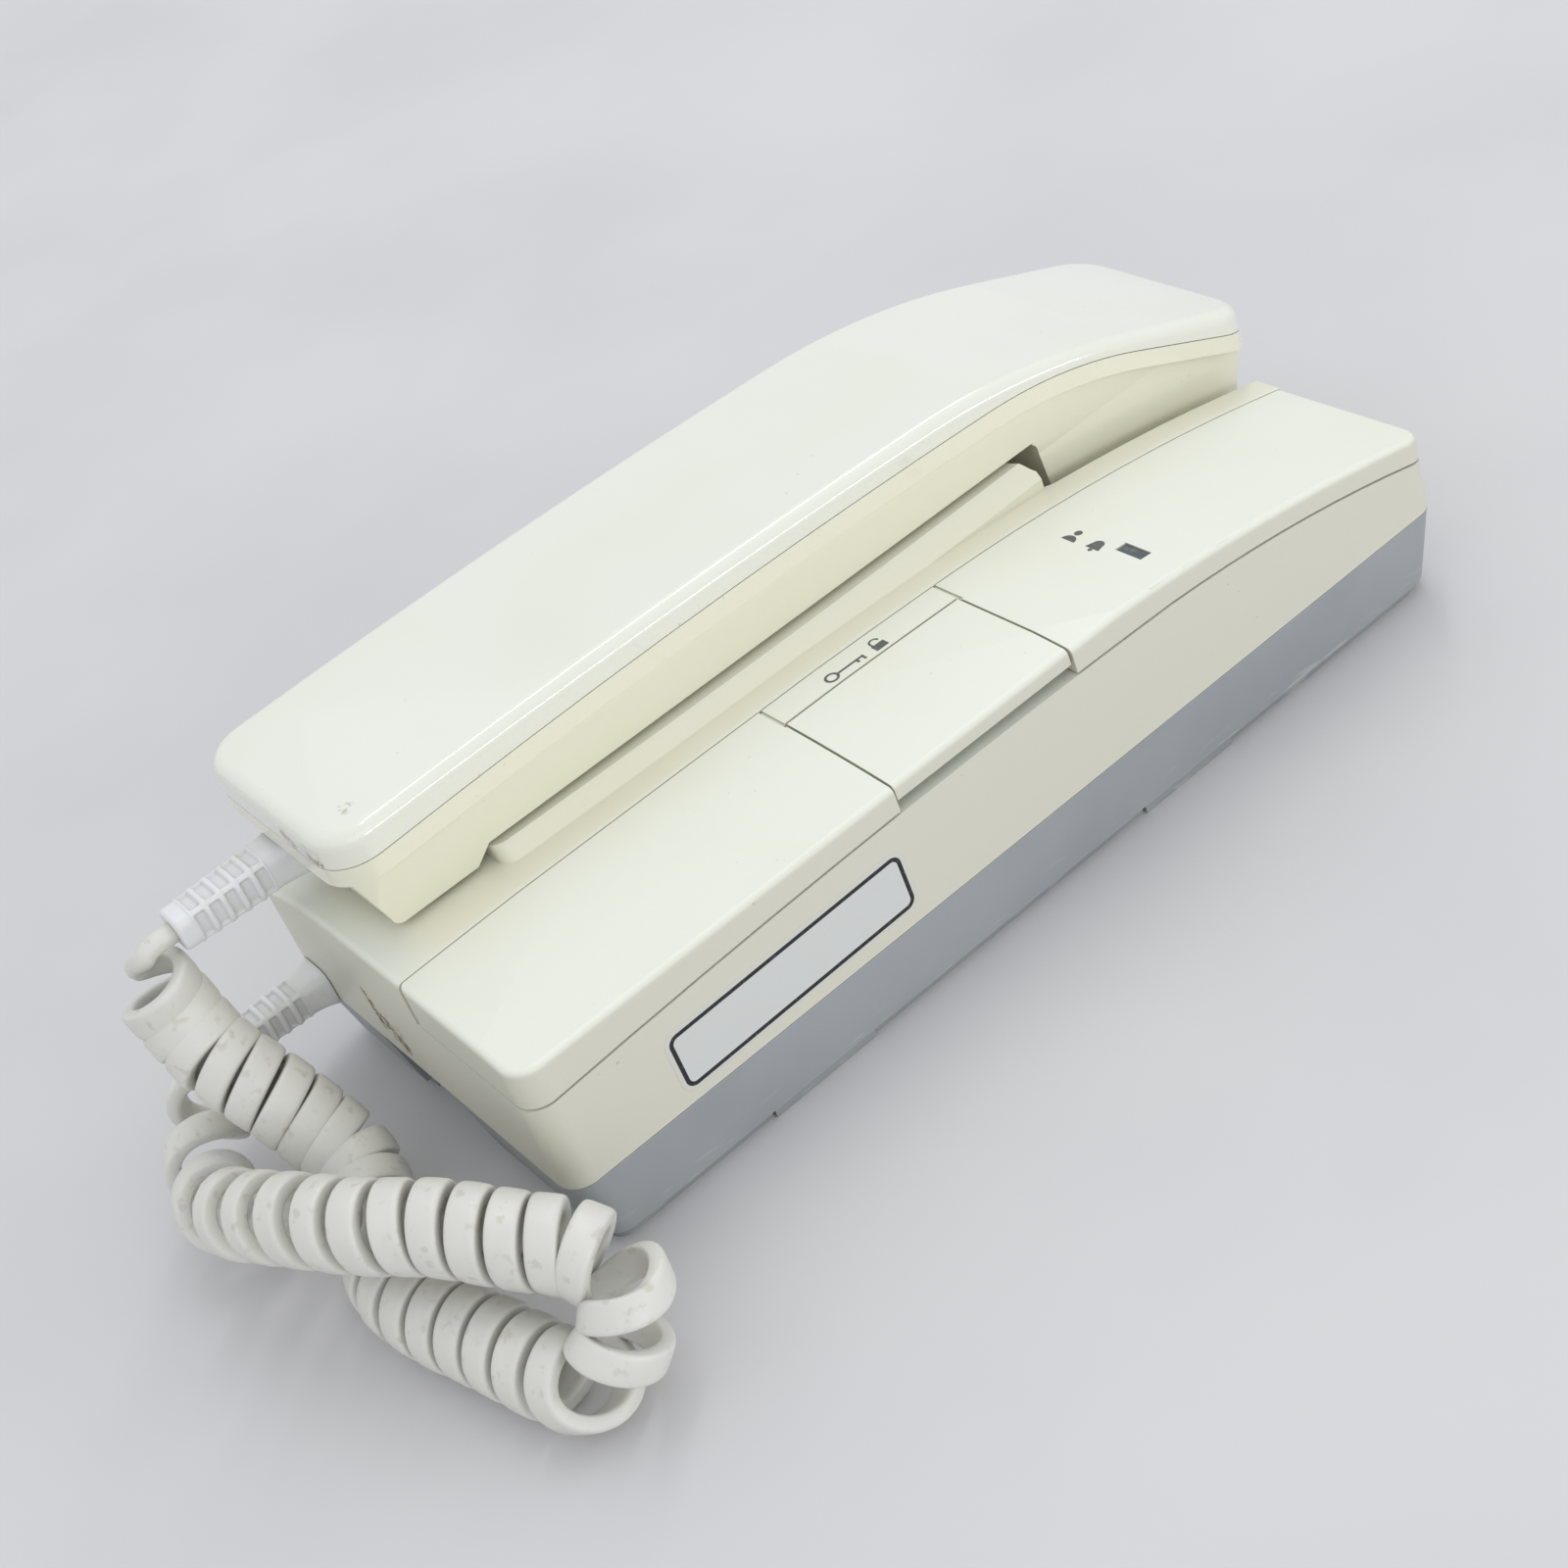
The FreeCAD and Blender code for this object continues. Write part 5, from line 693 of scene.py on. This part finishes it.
case_ivory = ivory(
    "ivory_case", 0.36, 0.010, channel=0.55,
    stains=(((-7, -107.5, 24), 6.0),),
    strokes=(((-13.1, -107.5, 31.8), (-11.9, -107.5, 24), 1.5),
             ((-10, -107.5, 26.0), (-5, -107.5, 22), 2.2)))
cover_ivory = ivory("ivory_cover", 0.34, 0.010)
handset_ivory = ivory(
    "ivory_handset", 0.13, 0.003, shade=IVORY_PALE, coat=1.0, stains=(((-5.6, -96.8, 71), 2.2),),
    strokes=(((-46, -103.2, 65.4), (-42, -105.2, 64.7), 1.8),
             ((-17, -105.5, 66.2), (-14, -105.5, 65.4), 1.8),
             ((-8, -105.5, 65.3), (-5, -105.5, 64.9), 1.3)))
handset_cream = ivory("ivory_handset_inside", 0.16, 0.003, shade=IVORY_CREAM, coat=0.6)
dress(case_ivory, "front_case")
dress(cover_ivory, "front_cover", "release_key")
dress(handset_ivory, "handset_outer_shell")
dress(handset_cream, "handset_inner_shell")

# %% [markdown]
# A strip of clear film is stuck on the station's side. It is a real thin piece here, a
# rounded plate 0.06 mm thick, because its edge catches the light. Its frame is a dark line
# that follows the plate's outline, found from the distance to a rounded rectangle, and the
# field inside stays blank.

# %% Film on the side
FILM_MIDDLE = Vector((48.0, -55.4, 27.3))
FILM_SIZE = (54.2, 13.9)
FILM_CORNER = 3.0
FILM_THICK = 0.06
FILM_SUNK = 0.02
FILM_CHAMFER = 0.03
FILM_TURN = math.radians(1.1)
FRAME_IN = 0.95           # from the film's edge to the frame, then the frame's own width
FRAME_LINE = 0.85
FRAME_SOFT = 0.06
CORNER_STEPS = 8


def rounded_plate(size, corner):
    """Points round a rectangle with rounded corners, about its middle."""
    points = []
    for quarter, (across, up) in enumerate(((1, 1), (-1, 1), (-1, -1), (1, -1))):
        for number in range(CORNER_STEPS + 1):
            angle = math.pi / 2 * (quarter + number / CORNER_STEPS)
            points.append((across * (size[0] / 2 - corner) + corner * math.cos(angle),
                           up * (size[1] / 2 - corner) + corner * math.sin(angle)))
    return points


along_side = Vector((0, math.cos(FILM_TURN), math.sin(FILM_TURN)))
up_side = Vector((0, -math.sin(FILM_TURN), math.cos(FILM_TURN)))
film_rings = []
for height, inset in ((-FILM_SUNK, 0.0), (FILM_THICK - FILM_SUNK, 0.0), (FILM_THICK, FILM_CHAMFER)):
    outline = rounded_plate((FILM_SIZE[0] - 2 * inset, FILM_SIZE[1] - 2 * inset), FILM_CORNER - inset)
    level = FILM_MIDDLE + Vector((height, 0, 0))
    film_rings.append([(level + along_side * u + up_side * v) * MM for u, v in outline])
film = skin(film_rings, "side_film")
for face in film.data.polygons:
    face.use_smooth = False
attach(film, "station")


def film_finish():
    """Clear film with a plain frame line and nothing inside it."""
    finish = Finish("blank_film")
    here = finish.vectors("SUBTRACT", finish.place(), FILM_MIDDLE, out="Vector")
    half = (FILM_SIZE[0] / 2 - FILM_CORNER, FILM_SIZE[1] / 2 - FILM_CORNER)
    past = []
    for way, reach in ((along_side, half[0]), (up_side, half[1])):
        past.append(finish.maths("ABSOLUTE", finish.vectors("DOT_PRODUCT", here, way)) - reach)
    corner = (past[0].at_least(0.0) ** 2 + past[1].at_least(0.0) ** 2) ** 0.5
    inwards = FILM_CORNER - (corner + past[0].at_least(past[1]).at_most(0.0))
    line = finish.ease(inwards, FRAME_IN - FRAME_SOFT, FRAME_IN + FRAME_SOFT)
    frame_end = FRAME_IN + FRAME_LINE
    line = line * finish.ease(inwards, frame_end + FRAME_SOFT, frame_end - FRAME_SOFT)
    field = finish.ease(inwards, FRAME_IN, FRAME_IN + 0.2) * 0.9
    clouds = finish.patches(9, 0.4, 0.7, seed=5)
    colour = finish.mix(paint(209, 209, 198), paint(208, 210, 209), field)
    colour = finish.mix(colour, paint(208, 208, 202), clouds * 0.4)
    worn = finish.patches(0.5, 0.3, 0.42, seed=8)
    colour = finish.mix(colour, paint(24, 25, 30), line * (0.86 + worn * 0.14))
    roughness = 0.20 + clouds * 0.08 + line * 0.1
    ripples = finish.bump(finish.noise(2.5, 2.0, seed=3), 0.01)
    return finish.done(colour, roughness, Normal=ripples, IOR=1.49)


dress(film_finish(), film)
print("film", [round(value / MM, 2) for value in film.dimensions], "mm")

# %% [markdown]
# The small marks on the cover are printed ink: a key beside the release key, and a caller
# and a bell beside the lamp. Each is a flat mesh built from simple shapes, dropped on the
# cover with a ray from above, so it follows the slope that carries it.

# %% Printed marks
INK_THICK = 0.02 * MM
SAME_POINT = 0.004 * MM
ABOVE_ALL = 100.0         # the height in millimetres that the rays start from
ARC_STEPS = 20
KEY_LINE = 0.42
LOCK_LINE = 0.34
cover_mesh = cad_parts["front_cover"].data
cover_tree = BVHTree.FromPolygons([vertex.co for vertex in cover_mesh.vertices],
                                  [polygon.vertices for polygon in cover_mesh.polygons])


def disc(x, y, radius, start=0.0, end=360.0):
    """Points round a disc, or along an arc of it."""
    share = (end - start) / ARC_STEPS
    turns = [math.radians(start + share * number) for number in range(ARC_STEPS + 1)]
    return [(x + radius * math.cos(turn), y + radius * math.sin(turn)) for turn in turns]


def band(points, width):
    """A line of even width through points, as quads."""
    quads = []
    for (ax, ay), (bx, by) in zip(points, points[1:]):
        length = math.hypot(bx - ax, by - ay)
        nx, ny = -(by - ay) / length * width / 2, (bx - ax) / length * width / 2
        quads.append([(ax - nx, ay - ny), (bx - nx, by - ny), (bx + nx, by + ny), (ax + nx, ay + ny)])
    return quads


def print_mark(name, at, scale, turn, shapes):
    """Drops flat shapes, given in millimetres about their own origin, on the cover."""
    mesh = bmesh.new()
    c, s = math.cos(math.radians(turn)) * scale, math.sin(math.radians(turn)) * scale
    for shape in shapes:
        verts = []
        for x, y in shape:
            over = Vector((at[0] + x * c - y * s, at[1] + x * s + y * c, ABOVE_ALL)) * MM
            hit = cover_tree.ray_cast(over, Vector((0, 0, -1)))[0]
            verts.append(mesh.verts.new(hit + Vector((0, 0, INK_THICK))))
        mesh.faces.new(verts)
    bmesh.ops.remove_doubles(mesh, verts=mesh.verts, dist=SAME_POINT)
    mark = piece_of(mesh, name)
    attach(mark, "station")
    return mark


key_shape = band(disc(-2.6, 0, 0.95), KEY_LINE)
for stroke in ([(-1.65, 0), (3.2, 0)], [(3.0, 0.2), (3.0, -1.0)], [(1.9, 0.2), (1.9, -0.8)]):
    key_shape += band(stroke, KEY_LINE)
lock_shape = [[(-1.1, -1.2), (1.1, -1.2), (1.1, 0.3), (-1.1, 0.3)]]
lock_shape += band([(-0.75, 0.3), (-0.75, 0.9)], LOCK_LINE)
lock_shape += band(disc(0, 0.9, 0.75, 180, 0), LOCK_LINE)
caller_shape = [disc(0, 0.85, 0.62), disc(0, -1.25, 1.25, 0, 180)]
bell_shape = [disc(0, 0.35, 0.95, 0, 180) + [(-1.3, -0.85), (1.3, -0.85)], disc(0, -1.15, 0.36)]
marks = [
    print_mark("mark_key", (15.35, -9.0), 1.3, 90, key_shape),
    print_mark("mark_lock", (15.35, -1.2), 1.3, 90, lock_shape),
    print_mark("mark_caller", (22.0, 41.8), 1.35, 0, caller_shape),
    print_mark("mark_bell", (28.2, 41.6), 1.35, 0, bell_shape),
]


def ink():
    finish = Finish("grey_ink")
    worn = finish.patches(0.35, 0.3, 0.5, seed=4)
    colour = finish.mix(paint(118, 120, 116), paint(88, 90, 90), worn)
    rough = finish.bump(finish.noise(0.3), 0.004)
    return finish.done(colour, 0.5 + worn * 0.1, Normal=rough, IOR=1.45)


dress(ink(), *marks)

# %% [markdown]
# The rear case is a cool grey plastic with a fine matt grain. It picks up pale scuffs along
# its lower edge where it has been slid about, so a long stretched noise lightens it there.
# A few small stains are listed, each as a point and a radius in millimetres.

# %% Grey rear case
GREY = paint(150, 154, 157)
GREY_SCUFF = paint(190, 190, 184)
GREY_SPOTS = (((48, -56, 12.4), 0.7), ((47.5, -95, 5), 0.8), ((47.4, 12, 4.5), 0.6))


def grey_case():
    finish = Finish("grey_rear_case")
    colour = finish.mix(GREY, paint(164, 168, 170), finish.patches(40, 0.4, 0.7, seed=2) * 0.5)
    low = finish.ease(finish.along("Z"), 9, 2)
    scuffs = finish.patches(1.2, 0.60, 0.70, 2.0, stretch=(1, 0.12, 1), seed=6) * low
    wear = finish.edges(0.5)
    colour = finish.mix(colour, GREY_SCUFF, (scuffs * 0.5).at_least(wear * 0.5))
    for point, radius in GREY_SPOTS:
        colour = finish.mix(colour, paint(176, 168, 128), finish.near(point, radius) * 0.8)
    # painted shade: the corners are darkened towards a dark grey
    colour = finish.mix(colour, paint(104, 106, 106), finish.corners_in(2.0) * 0.3)
    roughness = 0.42 + scuffs * 0.2 + finish.patches(22, seed=9) * 0.06
    grain = finish.bump(finish.noise(0.5, 2.0), 0.014)
    return finish.done(colour, roughness, Normal=grain, IOR=1.5)


dress(grey_case(), "rear_case")

# %% [markdown]
# The cord's jacket is a soft vinyl, a warmer grey white than the cases. Its turns rub on
# tables, so the outsides are slightly soiled while the insides stay shaded and dull.
# The two boots are the same family of plastic but newer looking and cooler.

# %% Cord and boots
CORD_VINYL = paint(214, 213, 206)
CORD_SOIL = paint(170, 163, 146)
BOOT_VINYL = paint(226, 227, 229)
BOOT_SOIL = paint(188, 182, 168)


def vinyl(name, base, soil, soiled, gloss):
    """Soft vinyl with soil in patches and specks, as strongly as soiled says."""
    finish = Finish(name)
    colour = finish.mix(base, paint(222, 221, 213), finish.patches(9, 0.4, 0.7, seed=4) * 0.5)
    marks = finish.patches(2.6, 0.58, 0.72, 3.0, seed=12) * soiled
    specks = finish.patches(0.7, 0.74, 0.78, 1.0, seed=14) * soiled
    colour = finish.mix(colour, soil, marks.at_least(specks))
    # painted shade between the turns and in the corners
    colour = finish.mix(colour, paint(120, 116, 104), finish.corners_in(2.2) * 0.25)
    roughness = gloss + marks * 0.2 + finish.patches(6, seed=15) * 0.06
    grain = finish.bump(finish.noise(0.8, 3.0), 0.012)
    return finish.done(colour, roughness, Normal=grain, IOR=1.5)


dress(vinyl("cord_vinyl", CORD_VINYL, CORD_SOIL, 0.35, 0.36), curly_cord)
dress(vinyl("boot_vinyl", BOOT_VINYL, BOOT_SOIL, 0.15, 0.34), handset_boot, station_boot)

# %% [markdown]
# The call lamp shines through a small window of smoked plastic: dark, smooth and glossy,
# with faint moulding lines so that it isn't a flat black spot.

# %% Lamp window
def smoked_window():
    finish = Finish("smoked_window")
    colour = finish.mix(paint(66, 76, 80), paint(96, 106, 108), finish.patches(2.0, 0.4, 0.7, seed=2))
    return finish.done(colour, 0.16 + finish.patches(1.2, seed=3) * 0.08,
                       Normal=finish.bump(finish.noise(1.5, 1.0), 0.01), IOR=1.5)


dress(smoked_window(), "lamp_window")

# %% [markdown]
# Inside the cases are the parts that nobody sees until the station is opened. They still
# get their own finishes. The metals come first: plated sheet, screws, spring steel, painted
# frames and the capacitors' cans.

# %% Metals
def metal(name, colour, dull, brushed=(1, 1, 1), tarnish=paint(120, 108, 92)):
    finish = Finish(name)
    streaks = finish.noise(0.8, 3.0, stretch=brushed)
    stained = finish.patches(5, 0.55, 0.75, seed=7)
    tone = finish.mix(colour, tarnish, stained * 0.25 + finish.corners_in(1.0) * 0.2)
    return finish.done(tone, dull + streaks * 0.15, Metallic=1.0, Normal=finish.bump(streaks, 0.006))


dress(metal("zinc_steel", paint(190, 192, 194), 0.30, (1, 0.06, 1)), "wall_bracket", "transformer_core")
dress(metal("bright_screws", paint(198, 198, 194), 0.24), "case_screws", "board_screws",
      "terminal_screws", "handset_screws")
dress(metal("spring_steel", paint(176, 178, 180), 0.22), key_coil, hook_coil, "key_hinge_pin")
dress(metal("speaker_steel", paint(170, 172, 172), 0.34), "speaker_frame", "speaker_magnet",
      "handset_weight")
dress(metal("can_sleeve", paint(70, 84, 120), 0.35), "capacitors")

# %% [markdown]
# Switches, sockets, capsules, seals and the speaker's card differ in colour, gloss and
# grain, but not in kind: two close tones in soft patches, and a darker tone in the corners, which is
# painted shade.

# %% Moulded and small inner parts
def moulding(name, colour, other, dull, size=6.0, grain=0.01):
    finish = Finish(name)
    tone = finish.mix(colour, other, finish.patches(size, 0.4, 0.7, seed=5) * 0.6)
    # painted shade: the corners are darkened
    tone = finish.mix(tone, paint(90, 86, 76), finish.corners_in(1.0) * 0.3)
    return finish.done(tone, dull + finish.patches(size / 2, seed=6) * 0.08,
                       Normal=finish.bump(finish.noise(0.5, 2.0), grain))


dress(moulding("black_switch", paint(38, 38, 40), paint(54, 54, 56), 0.40),
      "key_switch", "hook_switch", "line_relay", "audio_chip")
dress(moulding("white_nylon", paint(226, 224, 212), paint(214, 210, 192), 0.34),
      "switch_plunger", "hook_plunger", "cord_socket", "terminal_block")
dress(moulding("lamp_red", paint(176, 44, 36), paint(200, 70, 56), 0.18), "call_lamp")
dress(moulding("tape_yellow", paint(206, 178, 88), paint(190, 150, 70), 0.45), "transformer_coil")
dress(moulding("capsule_black", paint(46, 46, 48), paint(66, 66, 66), 0.42),
      "receiver_capsule", "microphone_capsule")
dress(moulding("soft_rubber", paint(60, 60, 58), paint(78, 78, 74), 0.62, grain=0.02),
      "receiver_gasket", "microphone_boot")
dress(moulding("cone_card", paint(52, 50, 48), paint(74, 70, 64), 0.75, 3.0, 0.03), "speaker_cone")

# %% [markdown]
# A circuit board is green lacquer over copper. The tracks show as slightly lighter lines,
# which noise stretched both ways suggests well enough at this size.

# %% Circuit board
def board():
    finish = Finish("circuit_board")
    rows = finish.patches(1.6, 0.52, 0.56, 0.0, stretch=(1, 0.08, 1), seed=3)
    columns = finish.patches(1.6, 0.56, 0.60, 0.0, stretch=(0.08, 1, 1), seed=9)
    tone = finish.mix(paint(30, 92, 56), paint(62, 128, 78), rows.at_least(columns) * 0.8)
    return finish.done(tone, 0.3 + finish.patches(8, seed=2) * 0.1, Normal=finish.bump(rows, 0.02))


dress(board(), "main_board")

# %% [markdown]
# The floor is a plain pale surface. Seen by the camera it keeps the object's soft shadow.

# %% Floor finish
def floor_finish():
    finish = Finish("floor_plaster")
    tone = finish.mix(paint(206, 205, 207), paint(212, 211, 212), finish.patches(120, 0.3, 0.7, seed=2))
    return finish.done(tone, 0.75 + finish.patches(30, seed=4) * 0.05)


dress(floor_finish(), floor)
